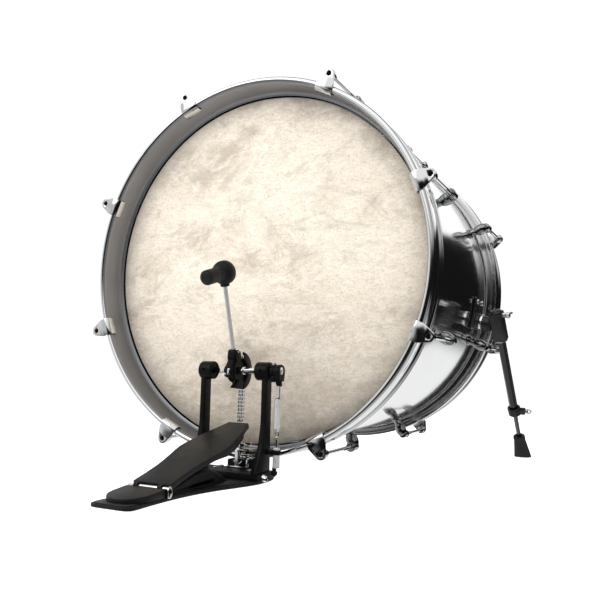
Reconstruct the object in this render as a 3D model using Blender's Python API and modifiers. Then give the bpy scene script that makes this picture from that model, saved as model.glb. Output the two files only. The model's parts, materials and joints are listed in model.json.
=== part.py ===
"""Bass drum, 22 x 16 inch, with a single chain-drive pedal clamped to the batter hoop.

Metres, +Z up. The drum axis runs along Y and the player sits on the -Y side.
The drum's positions along Y are counted from the outer plane of the batter hoop,
at HOOP_Y, and the pedal's from PEDAL_Y. The origin is on the floor under the
middle of the whole outline.
"""
import math

import bmesh
import bpy
from mathutils import Matrix, Vector

# ---------------------------------------------------------------- driving sizes
HOOP_Y = -0.1177            # outer plane of the batter hoop in the final frame
PEDAL_Y = -0.1097           # plane behind the hoop bead that the pedal is clamped to
AXIS_Z = 0.322              # height of the drum axis above the floor
SEGMENTS = 64               # facets round the drum

SHELL_R = 0.2794            # 22 inch shell
SHELL_WALL = 0.0016
SHELL_DEPTH = 0.4064        # 16 inch shell
HOOP_REACH = 0.0480         # hoop outer plane in front of the bearing edge
GAP = 0.0003

BEAD_IN_R = 0.2870          # inside of the hoop's rounded front bead
BEAD_OUT_R = 0.2975
HOOP_DEPTH = 0.0520
HEAD_FILM = 0.0010
FLESH_OUT_R = 0.2925        # aluminium ring that holds the head's rim

LUG_BACK = 0.1280           # lug centre behind the hoop's outer plane
ROD_R_AT = 0.3120           # tension rods' distance from the drum axis
ROD_RADIUS = 0.0030
CLAW_HALF = 0.0145
PATTERN_TURN = -1.0         # the drum stands turned by a degree
CLAW_HALF_ANGLES = (27.0, 69.0, 112.0, 154.5)   # from straight down, both ways

SPUR_ANGLE = -13.7          # spur socket on the shell, from level
SPUR_Y = 0.3636
SPUR_R_AT = 0.3256          # leg axis to drum axis at the socket
LEG_DIR = Vector((0.0622, 0.5075, -0.8595)).normalized()
LEG_TUBE_R = 0.0075
TIP_ROD_R = 0.0041
SOCKET_UP = 0.0320
SOCKET_DOWN = 0.0292
TUBE_END = 0.1880           # tube's lower end, from the socket centre along the leg

PEDAL_X = 0.0070            # pedal centre, beside the drum's centre
AXLE_Y = -0.0370
AXLE_Z = 0.1560
AXLE_R = 0.0044
BEATER_LEAN = 17.0
BEATER_REACH = 0.1470
HOUSING_R = 0.0135
HOUSING_IN = 0.0375
HOUSING_OUT = 0.0600
POST_X = 0.0525
HINGE_Y = -0.2280
HINGE_Z = 0.0145
PIN_R = 0.0028
BOARD_PITCH = math.degrees(math.atan2(0.062, 0.204))
BOARD_LENGTH = 0.2130
SPROCKET_R = 0.0175
CHAIN_R = 0.0205
SPRING_X = 0.0713

# ---------------------------------------------------------------- scene set-up
for old in list(bpy.data.objects):
    bpy.data.objects.remove(old, do_unlink=True)

PARTS = bpy.data.collections.new("bass_drum_with_pedal")
bpy.context.scene.collection.children.link(PARTS)
CUTTERS = bpy.data.collections.new("cutters")
bpy.context.scene.collection.children.link(CUTTERS)

FINISHES = {
    "polished_steel": ((0.86, 0.87, 0.88), 0.07, 1.0),
    "chrome": ((0.90, 0.91, 0.92), 0.05, 1.0),
    "black_chrome": ((0.10, 0.10, 0.11), 0.16, 1.0),
    "black_enamel": ((0.028, 0.028, 0.030), 0.42, 0.0),
    "black_plastic": ((0.022, 0.022, 0.024), 0.50, 0.0),
    "calf_film": ((0.80, 0.74, 0.64), 0.62, 0.0),
    "clear_film": ((0.84, 0.83, 0.80), 0.35, 0.0),
    "rubber": ((0.030, 0.030, 0.031), 0.70, 0.0),
}


def finish(obj, kind):
    """Give the object a Principled material of its own."""
    colour, roughness, metallic = FINISHES[kind]
    mat = bpy.data.materials.new(obj.name + "_" + kind)
    mat.use_nodes = True
    shader = mat.node_tree.nodes["Principled BSDF"]
    shader.inputs["Base Color"].default_value = (*colour, 1.0)
    shader.inputs["Roughness"].default_value = roughness
    shader.inputs["Metallic"].default_value = metallic
    mat.diffuse_color = (*colour, 1.0)
    obj.data.materials.clear()
    obj.data.materials.append(mat)


def add(name, mesh):
    obj = bpy.data.objects.new(name, mesh)
    PARTS.objects.link(obj)
    return obj


def smooth(obj, angle=35.0):
    obj.data.shade_smooth()
    obj.data.set_sharp_from_angle(angle=math.radians(angle))


def settled(obj):
    """Turn the object into a plain mesh: modifiers applied and loose caps welded."""
    bpy.context.view_layer.update()
    graph = bpy.context.evaluated_depsgraph_get()
    mesh = bpy.data.meshes.new_from_object(obj.evaluated_get(graph))
    work = bmesh.new()
    work.from_mesh(mesh)
    bmesh.ops.remove_doubles(work, verts=work.verts, dist=0.00002)
    work.to_mesh(mesh)
    work.free()
    name = obj.name
    matrix = obj.matrix_world.copy()
    bpy.data.objects.remove(obj, do_unlink=True)
    mesh.transform(matrix)
    return add(name, mesh)


def combine(base, other, operation):
    """Join or cut with the exact solver, then drop the second shape."""
    CUTTERS.objects.link(other)
    PARTS.objects.unlink(other)
    other.hide_render = True
    other.display_type = "WIRE"
    step = base.modifiers.new(operation.lower(), "BOOLEAN")
    step.operation = operation
    step.solver = "EXACT"
    step.object = other
    result = settled(base)
    bpy.data.objects.remove(other, do_unlink=True)
    return result


def fused(pieces):
    base = pieces[0]
    for piece in pieces[1:]:
        base = combine(base, piece, "UNION")
    return base


def cut(base, cutters):
    for cutter in cutters:
        base = combine(base, cutter, "DIFFERENCE")
    return base


# ---------------------------------------------------------------- basic shapes
def turned(name, profile, segments=SEGMENTS, closed=True):
    """Screw a profile of (radius, height) points round Z."""
    mesh = bpy.data.meshes.new(name)
    points = [(r, 0.0, z) for r, z in profile]
    count = len(points)
    last = count if closed else count - 1
    edges = [(i, (i + 1) % count) for i in range(last)]
    mesh.from_pydata(points, edges, [])
    obj = add(name, mesh)
    screw = obj.modifiers.new("turn", "SCREW")
    screw.axis = "Z"
    screw.angle = math.tau
    screw.steps = segments
    screw.render_steps = segments
    screw.use_merge_vertices = True
    screw.merge_threshold = 0.00001
    return settled(obj)


def box(name, low, high, bevel=0.0):
    low = Vector(low)
    high = Vector(high)
    work = bmesh.new()
    bmesh.ops.create_cube(work, size=1.0)
    bmesh.ops.scale(work, vec=high - low, verts=work.verts)
    bmesh.ops.translate(work, vec=(low + high) / 2, verts=work.verts)
    mesh = bpy.data.meshes.new(name)
    work.to_mesh(mesh)
    work.free()
    obj = add(name, mesh)
    if bevel:
        edge = obj.modifiers.new("edge", "BEVEL")
        edge.width = bevel
        edge.segments = 1
        obj = settled(obj)
    return obj


def rod(name, start, end, radius, sides=12, radius_end=None):
    """Round bar from start to end; a second radius makes it a cone."""
    start = Vector(start)
    end = Vector(end)
    along = end - start
    work = bmesh.new()
    bmesh.ops.create_cone(
        work,
        cap_ends=True,
        segments=sides,
        radius1=radius,
        radius2=radius if radius_end is None else radius_end,
        depth=along.length,
    )
    mesh = bpy.data.meshes.new(name)
    work.to_mesh(mesh)
    work.free()
    turn = along.to_track_quat("Z", "Y").to_matrix().to_4x4()
    mesh.transform(Matrix.Translation((start + end) / 2) @ turn)
    return add(name, mesh)


def flat(name, outline, low, high):
    """Extrude a flat outline of (x, y) points from height low to height high."""
    data = bpy.data.curves.new(name, "CURVE")
    data.dimensions = "2D"
    data.fill_mode = "BOTH"
    data.extrude = (high - low) / 2
    spline = data.splines.new("POLY")
    spline.points.add(len(outline) - 1)
    for point, (x, y) in zip(spline.points, outline):
        point.co = (x, y, 0.0, 1.0)
    spline.use_cyclic_u = True
    obj = bpy.data.objects.new(name, data)
    PARTS.objects.link(obj)
    obj.location.z = (high + low) / 2
    return settled(obj)


def moved(obj, matrix):
    obj.data.transform(matrix)
    return obj


def placed(obj, origin):
    """Keep the shape where it is and put the object's origin at the given point."""
    origin = Vector(origin)
    obj.data.transform(Matrix.Translation(-origin))
    obj.location = origin
    return obj


def arc(centre, radius, start, end, steps):
    """Points on an arc, angles in degrees."""
    points = []
    for i in range(steps + 1):
        a = math.radians(start + (end - start) * i / steps)
        points.append((centre[0] + radius * math.cos(a), centre[1] + radius * math.sin(a)))
    return points


# ---------------------------------------------------------------- drum frame
DRUM_DEPTH = SHELL_DEPTH + 2 * HOOP_REACH
TO_AXIS = Matrix.Translation((0.0, HOOP_Y, AXIS_Z)) @ Matrix.Rotation(math.radians(-90), 4, "X")
FAR_SIDE = (
    Matrix.Translation((0.0, HOOP_Y + DRUM_DEPTH, AXIS_Z))
    @ Matrix.Rotation(math.radians(90), 4, "X")
)


def ring(name, profile, kind, far=False):
    """Turn (radius, depth) points round the drum axis, depth counted inwards."""
    obj = turned(name, [(r, y) for r, y in profile])
    moved(obj, FAR_SIDE if far else TO_AXIS)
    placed(obj, (0.0, HOOP_Y + (DRUM_DEPTH if far else 0.0), AXIS_Z))
    smooth(obj)
    finish(obj, kind)
    return obj


def make_shell():
    inner = SHELL_R - SHELL_WALL
    near = HOOP_REACH + GAP
    far = HOOP_REACH + SHELL_DEPTH - GAP
    ring(
        "shell",
        [(inner, near), (SHELL_R - 0.0005, near), (SHELL_R, near + 0.002),
         (SHELL_R, far - 0.002), (SHELL_R - 0.0005, far), (inner, far)][::-1],
        "polished_steel",
    )


def make_head(name, far, kind):
    """Film with its collar, bonded into the flesh hoop: one drumhead."""
    face = HOOP_REACH - HEAD_FILM
    collar_in = SHELL_R + GAP
    collar_out = collar_in + HEAD_FILM
    deep = HOOP_REACH + 0.0150
    profile = [
        (0.0, face + HEAD_FILM), (collar_in, face + HEAD_FILM), (collar_in, deep),
        (FLESH_OUT_R, deep), (FLESH_OUT_R, HOOP_DEPTH + GAP), (collar_out, HOOP_DEPTH + GAP),
        (collar_out, face + 0.0014), (collar_out - 0.0014, face), (0.0, face),
    ]
    obj = turned(name, profile, closed=False)
    moved(obj, FAR_SIDE if far else TO_AXIS)
    placed(obj, (0.0, HOOP_Y + (DRUM_DEPTH if far else 0.0), AXIS_Z))
    smooth(obj)
    finish(obj, kind)


def make_hoop(name, far):
    """Rolled hoop: front bead, groove, body band, rear bead that bears on the flesh hoop."""
    profile = [
        (BEAD_IN_R, 0.0040), (BEAD_IN_R + 0.0036, 0.0), (BEAD_OUT_R - 0.0036, 0.0),
        (BEAD_OUT_R, 0.0040), (BEAD_OUT_R - 0.0020, 0.0104), (0.2934, 0.0120),
        (0.2956, 0.0176), (0.2956, HOOP_DEPTH - 0.0088), (0.2976, HOOP_DEPTH - 0.0065), (0.2970, HOOP_DEPTH),
        (0.2850, HOOP_DEPTH), (0.2905, HOOP_DEPTH - 0.0060), (0.2905, 0.0110),
    ]
    ring(name, profile[::-1], "polished_steel", far)


def claw_angles():
    """Angles from +X towards +Z, numbered anticlockwise from the lower right."""
    left = [270.0 - a for a in CLAW_HALF_ANGLES]
    right = [270.0 + a for a in CLAW_HALF_ANGLES]
    turned_all = [a + PATTERN_TURN for a in right + left[::-1]]
    return turned_all


def on_drum(obj, angle, far):
    """Local X along the rim, Y along the axis inwards, Z outwards from the axis."""
    spin = Matrix.Rotation(math.radians(90.0 - angle), 4, "Y")
    turn = Matrix.Rotation(math.pi, 4, "Z") if far else Matrix.Identity(4)
    y = HOOP_Y + (DRUM_DEPTH if far else 0.0)
    obj.matrix_world = Matrix.Translation((0.0, y, AXIS_Z)) @ spin @ turn


def claw_mesh():
    """Hook plate over the bead, ear and key-rod socket, origin on the drum axis."""
    z_low = BEAD_IN_R - 0.0033
    ear = (0.0, ROD_R_AT)
    outline = [(-CLAW_HALF, z_low), (CLAW_HALF, z_low), (CLAW_HALF, 0.2990)]
    outline += [(0.0104, 0.3030)]
    outline += arc(ear, 0.0086, -15.0, 195.0, 6)
    outline += [(-0.0104, 0.3030), (-CLAW_HALF, 0.2990)]
    plate = flat("claw_plate", outline, 0.0005, 0.0027)
    moved(plate, Matrix.Rotation(math.radians(90), 4, "X"))
    lip = box("claw_lip", (-CLAW_HALF, -0.0027, z_low), (CLAW_HALF, 0.0070, z_low + 0.0022))
    boss = rod("claw_boss", (0, -0.0027, ROD_R_AT), (0, 0.0135, ROD_R_AT), 0.0082, 10, 0.0066)
    body = fused([plate, lip, boss])
    bore = rod("claw_bore", (0, -0.02, ROD_R_AT), (0, 0.03, ROD_R_AT), 0.0046, 8)
    body = cut(body, [bore])
    smooth(body)
    mesh = body.data
    bpy.data.objects.remove(body, do_unlink=True)
    return mesh


def lug_mesh():
    """Turned lug with its tension rod screwed in, origin on the drum axis."""
    base = SHELL_R + 0.0005
    profile = [
        (0.0, 0.0382), (0.0098, 0.0352), (0.0150, 0.0250), (0.0150, 0.0140),
        (0.0104, 0.0050), (0.0118, 0.0), (0.0, 0.0),
    ]
    body = turned("lug_body", profile, 12, closed=False)
    moved(body, Matrix.Translation((0.0, LUG_BACK, base)))
    barrel = rod("lug_barrel", (0, LUG_BACK - 0.0215, ROD_R_AT - 0.002),
                 (0, LUG_BACK + 0.004, ROD_R_AT - 0.002), 0.0068, 8)
    stem = rod("rod", (0, 0.0075, ROD_R_AT), (0, LUG_BACK, ROD_R_AT), ROD_RADIUS, 6)
    head = rod("rod_head", (0, 0.0022, ROD_R_AT), (0, 0.0082, ROD_R_AT), 0.0039, 6)
    body = fused([body, barrel, stem, head])
    smooth(body)
    mesh = body.data
    bpy.data.objects.remove(body, do_unlink=True)
    return mesh


def make_tension_gear():
    claw = claw_mesh()
    lug = lug_mesh()
    for side, far in (("batter", False), ("resonant", True)):
        for number, angle in enumerate(claw_angles(), 1):
            hook = add(f"{side}_claw_{number}", claw.copy())
            on_drum(hook, angle, far)
            finish(hook, "chrome")
            post = add(f"{side}_lug_{number}", lug.copy())
            on_drum(post, angle, far)
            finish(post, "chrome")


# ---------------------------------------------------------------- spurs
def spur_frame(side):
    """Unit vectors out of the shell and down along it, and the socket centre."""
    a = math.radians(SPUR_ANGLE)
    out = Vector((side * math.cos(a), 0.0, math.sin(a)))
    down = Vector((side * math.sin(a), 0.0, -math.cos(a)))
    centre = Vector((0.0, HOOP_Y + SPUR_Y, AXIS_Z)) + out * SPUR_R_AT
    leg = Vector((side * LEG_DIR.x, LEG_DIR.y, LEG_DIR.z))
    return out, down, centre, leg


def basis(x_axis, z_axis, origin):
    """Right-handed frame with Z exact and X as near as possible to the given one."""
    z_axis = z_axis.normalized()
    y_axis = z_axis.cross(x_axis).normalized()
    x_axis = y_axis.cross(z_axis)
    turn = Matrix((x_axis, y_axis, z_axis)).transposed().to_4x4()
    return Matrix.Translation(origin) @ turn


def make_spur(tag, side):
    out, down, centre, leg = spur_frame(side)
    along_y = Vector((0.0, 1.0, 0.0))

    # shell plate with the round hinge boss
    foot_r = SHELL_R + 0.0005
    low = SPUR_ANGLE - 3.2
    high = SPUR_ANGLE + 8.6
    outline = arc((0, 0), foot_r + 0.0042, low, high, 6) + arc((0, 0), foot_r, high, low, 6)
    plate = flat("spur_plate", outline, -0.0240, 0.0250)
    moved(plate, Matrix.Rotation(math.radians(90), 4, "X"))
    if side < 0:
        plate.data.transform(Matrix.Scale(-1.0, 4, (1.0, 0.0, 0.0)))
        plate.data.flip_normals()
    moved(plate, Matrix.Translation((0.0, HOOP_Y + SPUR_Y, AXIS_Z)))
    rise_from = centre - out * (SPUR_R_AT - foot_r - 0.0020)
    boss = rod("spur_boss", rise_from, centre - out * 0.0124, 0.0135, 16)
    collar = rod("spur_rim", rise_from, rise_from + out * 0.0090, 0.0152, 16)
    bracket = fused([plate, collar, boss])
    bracket.name = f"spur_bracket_{tag}"
    placed(bracket, centre)
    smooth(bracket)
    finish(bracket, "black_chrome")

    # leg: socket block, tube, memory lock and wing bolt turn together
    frame = basis(out, -leg, centre)
    block = box("spur_block", (-0.0118, -0.0125, -SOCKET_DOWN), (0.0118, 0.0125, SOCKET_UP), 0.0022)
    moved(block, frame)
    tube = rod("spur_tube", centre, centre + leg * TUBE_END, LEG_TUBE_R, 16)
    lock_at = centre + leg * (TUBE_END - 0.0165)
    lock = rod("spur_lock", lock_at, lock_at + leg * 0.0155, 0.0118, 16)
    ear = box("spur_lock_ear", (0.0060, -0.0052, -0.0160), (0.0300, 0.0052, -0.0020), 0.0015)
    moved(ear, basis(out, -leg, lock_at))
    bolt_at = centre - leg * (SOCKET_UP - 0.0095)
    stub = rod("spur_bolt", bolt_at, bolt_at + out * 0.0215, 0.0048, 10)
    wing = box("spur_wing", (0.0180, -0.0110, -0.0032), (0.0272, 0.0110, 0.0032), 0.0015)
    moved(wing, basis(out, -leg, bolt_at))
    body = fused([block, tube, lock, ear, stub, wing])
    bore = rod("spur_bore", centre + leg * 0.0500, centre + leg * (TUBE_END + 0.02), TIP_ROD_R + GAP, 12)
    seat = box("spur_seat", (-0.06, -0.06, -0.06), (0.06, 0.06, -0.0121))
    moved(seat, basis(along_y, out, centre))
    body = cut(body, [bore, seat])
    body.name = f"spur_leg_{tag}"
    placed(body, centre)
    smooth(body)
    finish(body, "black_chrome")

    # inner rod and rubber foot slide in the tube
    floor_s = centre.z / -leg.z
    foot_top = floor_s - 0.0490
    inner = rod(f"spur_rod_{tag}", centre + leg * 0.0900, centre + leg * (foot_top + 0.0120), TIP_ROD_R, 12)
    placed(inner, centre)
    smooth(inner)
    finish(inner, "chrome")

    profile = [
        (0.0, 0.0), (0.0108, 0.0), (0.0112, -0.0070), (0.0100, -0.0090),
        (0.0134, -0.0270), (0.0158, -0.0480), (0.0158, -0.0700), (0.0, -0.0700),
    ]
    foot = turned("spur_foot_" + tag, profile, 12, closed=False)
    moved(foot, basis(out, -leg, centre + leg * foot_top))
    floor_cut = box("floor_cut", (-1.0, -1.0, -0.5), (1.0, 1.0, 0.0))
    socket = rod("foot_socket", centre + leg * (foot_top - 0.01), centre + leg * (foot_top + 0.0123),
                 TIP_ROD_R + GAP, 12)
    foot = cut(foot, [floor_cut, socket])
    foot.name = f"spur_foot_{tag}"
    placed(foot, centre)
    smooth(foot)
    finish(foot, "rubber")


# ---------------------------------------------------------------- pedal
def at(x, y, z):
    """Point beside the pedal's centre line, Y counted from PEDAL_Y."""
    return Vector((PEDAL_X + x, PEDAL_Y + y, z))


def mirrored(half):
    """Close a right-hand half outline, listed front to back, with its mirror image."""
    return half + [(-x, y) for x, y in reversed(half)]


def side_extrude(name, outline, low, high):
    """Extrude an outline in the (Y, Z) plane along X."""
    obj = flat(name, outline, low, high)
    swap = Matrix(((0, 0, 1, 0), (1, 0, 0, 0), (0, 1, 0, 0), (0, 0, 0, 1)))
    return moved(obj, swap)


def pedal_shift(obj):
    return moved(obj, Matrix.Translation(at(0, 0, 0)))


def make_base():
    """Floor plate that widens towards the posts, with a spine and a rear block."""
    half = [(0.0230, -0.2990), (0.0300, -0.2950), (0.0312, -0.2880), (0.0292, -0.2570),
            (0.0288, -0.2140), (0.0325, -0.1730), (0.0405, -0.1350), (0.0515, -0.1010),
            (0.0600, -0.0680), (0.0605, -0.0400), (0.0560, -0.0150), (0.0460, 0.0020)]
    plate = flat("base_floor", mirrored(half), 0.0, 0.0042)
    spine_line = [(-0.2190, 0.0036), (-0.2120, 0.0110), (-0.1850, 0.0165), (-0.1600, 0.0210),
                  (-0.1400, 0.0225), (-0.1200, 0.0205), (-0.1000, 0.0130), (-0.0860, 0.0036)]
    spine = side_extrude("base_spine", spine_line, -0.0230, 0.0230)
    block = box("base_block", (-0.0590, -0.0640, 0.0030), (0.0590, -0.0140, 0.0130), 0.0015)
    ledge = box("base_ledge", (-0.0240, -0.0160, 0.0030), (0.0240, 0.0120, 0.0240), 0.0010)
    body = fused([plate, spine, block, ledge])
    body.name = "pedal_base"
    pedal_shift(body)
    placed(body, at(0, HINGE_Y, 0))
    smooth(body, 25)
    finish(body, "black_enamel")


def make_heel():
    """Heel plate with two hinge knuckles at its rear corners."""
    front = arc((0.0, -0.2580), 0.0295, 180.0, 360.0, 12)
    front = [(x, -0.2580 + (y + 0.2580) * 1.02) for x, y in front]
    outline = front + [(0.0295, -0.2335), (-0.0295, -0.2335)]
    plate = flat("heel_plate_raw", outline, 0.0045, 0.0180)
    slope = box("heel_slope", (-0.05, -0.32, 0.0), (0.05, -0.20, 0.03))
    tilt = Matrix.Translation((0, -0.2880, 0.0098)) @ Matrix.Rotation(math.atan2(0.0066, 0.0540), 4, "X")
    moved(slope, tilt @ Matrix.Translation((0, 0.2880, 0)))
    plate = cut(plate, [slope])
    knuckles = []
    for x in (-0.0230, 0.0230):
        knuckles.append(rod("heel_knuckle", (x - 0.0065, HINGE_Y, HINGE_Z),
                            (x + 0.0065, HINGE_Y, HINGE_Z), 0.0048, 12))
        knuckles.append(box("heel_ear", (x - 0.0065, -0.2400, 0.0060), (x + 0.0065, HINGE_Y, 0.0150)))
    body = fused([plate] + knuckles)
    bore = rod("heel_bore", (-0.05, HINGE_Y, HINGE_Z), (0.05, HINGE_Y, HINGE_Z), PIN_R + GAP, 12)
    body = cut(body, [bore])
    body.name = "heel_plate"
    pedal_shift(body)
    placed(body, at(0, HINGE_Y, HINGE_Z))
    smooth(body, 25)
    finish(body, "black_enamel")

    pin = rod("hinge_pin", at(-0.0310, HINGE_Y, HINGE_Z), at(0.0318, HINGE_Y, HINGE_Z), PIN_R, 12)
    placed(pin, at(0, HINGE_Y, HINGE_Z))
    smooth(pin)
    finish(pin, "chrome")


def make_footboard():
    """Long footboard: local Y runs up the board from the hinge pin."""
    half = [(0.0290, 0.0060), (0.0282, 0.0300), (0.0288, 0.0560), (0.0330, 0.0850),
            (0.0372, 0.1080), (0.0376, 0.1230), (0.0340, 0.1450), (0.0285, 0.1700),
            (0.0225, 0.1920), (0.0175, BOARD_LENGTH)]
    board = flat("footboard_raw", mirrored(half), -0.0045, 0.0033)
    knuckle = rod("board_knuckle", (-0.0155, 0, 0), (0.0155, 0, 0), 0.0046, 12)
    web = box("board_web", (-0.0155, 0.0010, -0.0040), (0.0155, 0.0100, 0.0030))
    hook = box("board_hook", (-0.0048, 0.1980, -0.0100), (0.0048, 0.2245, -0.0012), 0.0008)
    body = fused([board, knuckle, web, hook])
    bore = rod("board_bore", (-0.05, 0, 0), (0.05, 0, 0), PIN_R + GAP, 12)
    body = cut(body, [bore])
    body.name = "footboard"
    body.location = at(0, HINGE_Y, HINGE_Z)
    body.rotation_euler.x = math.radians(BOARD_PITCH)
    smooth(body, 25)
    finish(body, "black_enamel")


def make_post(name, side):
    """Post with its flared foot and the bearing housing on top."""
    line = [(AXLE_Y - 0.0350, 0.0133), (AXLE_Y + 0.0090, 0.0133), (AXLE_Y + 0.0085, AXLE_Z),
            (AXLE_Y - 0.0085, AXLE_Z), (AXLE_Y - 0.0090, 0.0800), (AXLE_Y - 0.0140, 0.0520),
            (AXLE_Y - 0.0260, 0.0270)]
    stem = side_extrude("post_stem", line, POST_X - 0.0042, POST_X + 0.0042)
    soften = stem.modifiers.new("edge", "BEVEL")
    soften.width = 0.0018
    soften.segments = 1
    stem = settled(stem)
    house = rod("post_house", (HOUSING_IN, AXLE_Y, AXLE_Z), (HOUSING_OUT - 0.0025, AXLE_Y, AXLE_Z), HOUSING_R, 20)
    nose = rod("post_nose", (HOUSING_OUT - 0.0026, AXLE_Y, AXLE_Z), (HOUSING_OUT, AXLE_Y, AXLE_Z),
               HOUSING_R, 20, HOUSING_R - 0.0026)
    pieces = [stem, house, nose]
    if side > 0:
        arm = box("spring_arm", (POST_X, AXLE_Y - 0.0060, 0.0385), (SPRING_X + 0.0065, AXLE_Y + 0.0060, 0.0450), 0.0010)
        nut = rod("spring_nut", (SPRING_X, AXLE_Y, 0.0203), (SPRING_X, AXLE_Y, 0.0400), 0.0050, 12)
        pieces += [arm, nut]
    body = fused(pieces)
    end = HOUSING_OUT + 0.01 if side > 0 else HOUSING_OUT - 0.0018
    bore = rod("post_bore", (HOUSING_IN - 0.01, AXLE_Y, AXLE_Z), (end, AXLE_Y, AXLE_Z), AXLE_R + GAP, 12)
    cutters = [bore]
    if side > 0:
        cutters.append(rod("spring_hole", (SPRING_X, AXLE_Y, 0.0260), (SPRING_X, AXLE_Y, 0.06), 0.0015, 8))
    body = cut(body, cutters)
    if side < 0:
        body.data.transform(Matrix.Scale(-1.0, 4, (1.0, 0.0, 0.0)))
        body.data.flip_normals()
    body.name = name
    pedal_shift(body)
    placed(body, at(side * POST_X, AXLE_Y, 0.0133))
    smooth(body)
    finish(body, "black_enamel")


def make_axle():
    """Hexagonal axle with the rocker that the return spring pulls on."""
    bar = rod("axle_bar", (-0.0576, 0, 0), (0.0795, 0, 0), AXLE_R, 6)
    hub = rod("rocker_hub", (0.0608, 0, 0), (0.0712, 0, 0), 0.0094, 14)
    face = rod("rocker_face", (0.0700, 0, 0), (0.0775, 0, 0), 0.0102, 16)
    tail_line = [(-0.0075, 0.0), (-0.0050, -0.0190), (0.0, -0.0215), (0.0050, -0.0190), (0.0075, 0.0)]
    tail = side_extrude("rocker_tail", tail_line, 0.0726, 0.0768)
    pin = rod("rocker_pin", (0.0690, 0, -0.0165), (0.0795, 0, -0.0165), 0.0022, 8)
    body = fused([bar, hub, face, tail, pin])
    body.name = "axle"
    body.location = at(0, AXLE_Y, AXLE_Z)
    smooth(body)
    finish(body, "chrome")


def make_cam():
    """Sprocket, side plate with its stop fang, and the clamp block for the beater shaft."""
    lean = math.radians(BEATER_LEAN)
    drum = rod("cam_drum", (-0.0058, 0, 0), (0.0090, 0, 0), SPROCKET_R, 24)
    rim = arc((0, 0), 0.0300, -75.0, 118.0, 16)
    side_line = rim + [(-0.0135, 0.0150), (-0.0150, -0.0040), (-0.0100, -0.0130),
                       (-0.0215, -0.0240), (-0.0050, -0.0215)]
    plate = side_extrude("cam_plate", side_line, 0.0078, 0.0112)
    block = box("cam_block", (-0.0068, -0.0100, 0.0050), (0.0068, 0.0100, 0.0330), 0.0030)
    moved(block, Matrix.Rotation(lean, 4, "X"))
    nose = rod("cam_nose", (-0.0066, -0.0150, -0.0010), (0.0066, -0.0150, -0.0010), 0.0095, 14)
    body = fused([drum, plate, block, nose])
    hole = rod("cam_bore", (-0.03, 0, 0), (0.03, 0, 0), AXLE_R + GAP, 12)
    up = Vector((0.0, -math.sin(lean), math.cos(lean)))
    socket = rod("shaft_bore", up * 0.0095, up * 0.06, 0.0034, 12)
    body = cut(body, [hole, socket])
    body.name = "cam_hub"
    body.location = at(0, AXLE_Y, AXLE_Z)
    smooth(body)
    finish(body, "black_enamel")


def make_beater():
    """Round shaft and two-sided beater, leaning back at rest."""
    lean = math.radians(BEATER_LEAN)
    up = Vector((0.0, -math.sin(lean), math.cos(lean)))
    centre = at(0, AXLE_Y, AXLE_Z)
    shaft = rod("beater_shaft", centre + up * 0.0100, centre + up * (BEATER_REACH + 0.0020), 0.0031, 12)
    placed(shaft, centre)
    smooth(shaft)
    finish(shaft, "chrome")

    strike = Vector((0.0, math.cos(lean), math.sin(lean)))
    profile = [
        (0.0, 0.0125), (0.0090, 0.0120), (0.0152, 0.0098), (0.0174, 0.0060), (0.0176, 0.0),
        (0.0166, -0.0046), (0.0138, -0.0085), (0.0112, -0.0112), (0.0108, -0.0150),
        (0.0108, -0.0440), (0.0096, -0.0468), (0.0, -0.0474),
    ]
    head = turned("beater_raw", profile, 20, closed=False)
    moved(head, basis(Vector((1.0, 0.0, 0.0)), strike, centre + up * BEATER_REACH))
    socket = rod("beater_socket", centre + up * (BEATER_REACH - 0.04), centre + up * (BEATER_REACH + 0.0024),
                 0.0031 + GAP, 12)
    head = cut(head, [socket])
    head.name = "beater_head"
    placed(head, centre)
    smooth(head)
    finish(head, "black_plastic")


def make_chain():
    """Double chain hanging from the sprocket's drum side to the board's hook."""
    y = AXLE_Y + CHAIN_R
    pitch = 0.0064
    top = 0.1500
    count = 11
    links = []
    for i in range(count):
        z = top - (i + 0.5) * pitch
        thick = 0.0022 if i % 2 else 0.0016
        links.append(box("chain_link", (-0.0052, y - thick, z - pitch * 0.52), (0.0052, y + thick, z + pitch * 0.52)))
    body = fused(links)
    body.name = "chain"
    pedal_shift(body)
    placed(body, at(0, y, top))
    finish(body, "chrome")


def make_spring():
    """Return spring: straight hook wire, coil, straight wire into the tension nut."""
    data = bpy.data.curves.new("return_spring", "CURVE")
    data.dimensions = "3D"
    data.bevel_depth = 0.0009
    data.bevel_resolution = 0
    data.use_fill_caps = True
    coil_top = 0.1150
    coil_low = 0.0765
    turns = 9
    steps = 8
    points = [(0.0, 0.0, AXLE_Z - 0.0205), (0.0, 0.0, coil_top + 0.0040)]
    for i in range(turns * steps + 1):
        a = math.tau * i / steps
        z = coil_top + (coil_low - coil_top) * i / (turns * steps)
        points.append((0.0036 * math.cos(a), 0.0036 * math.sin(a), z))
    points += [(0.0, 0.0, coil_low - 0.0040), (0.0, 0.0, 0.0470), (0.0, 0.0, 0.0275)]
    spline = data.splines.new("POLY")
    spline.points.add(len(points) - 1)
    for point, place in zip(spline.points, points):
        point.co = (*place, 1.0)
    obj = bpy.data.objects.new("return_spring", data)
    PARTS.objects.link(obj)
    obj.location = at(SPRING_X, AXLE_Y, 0.0)
    obj = settled(obj)
    placed(obj, at(SPRING_X, AXLE_Y, AXLE_Z))
    smooth(obj, 60)
    finish(obj, "chrome")


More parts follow.
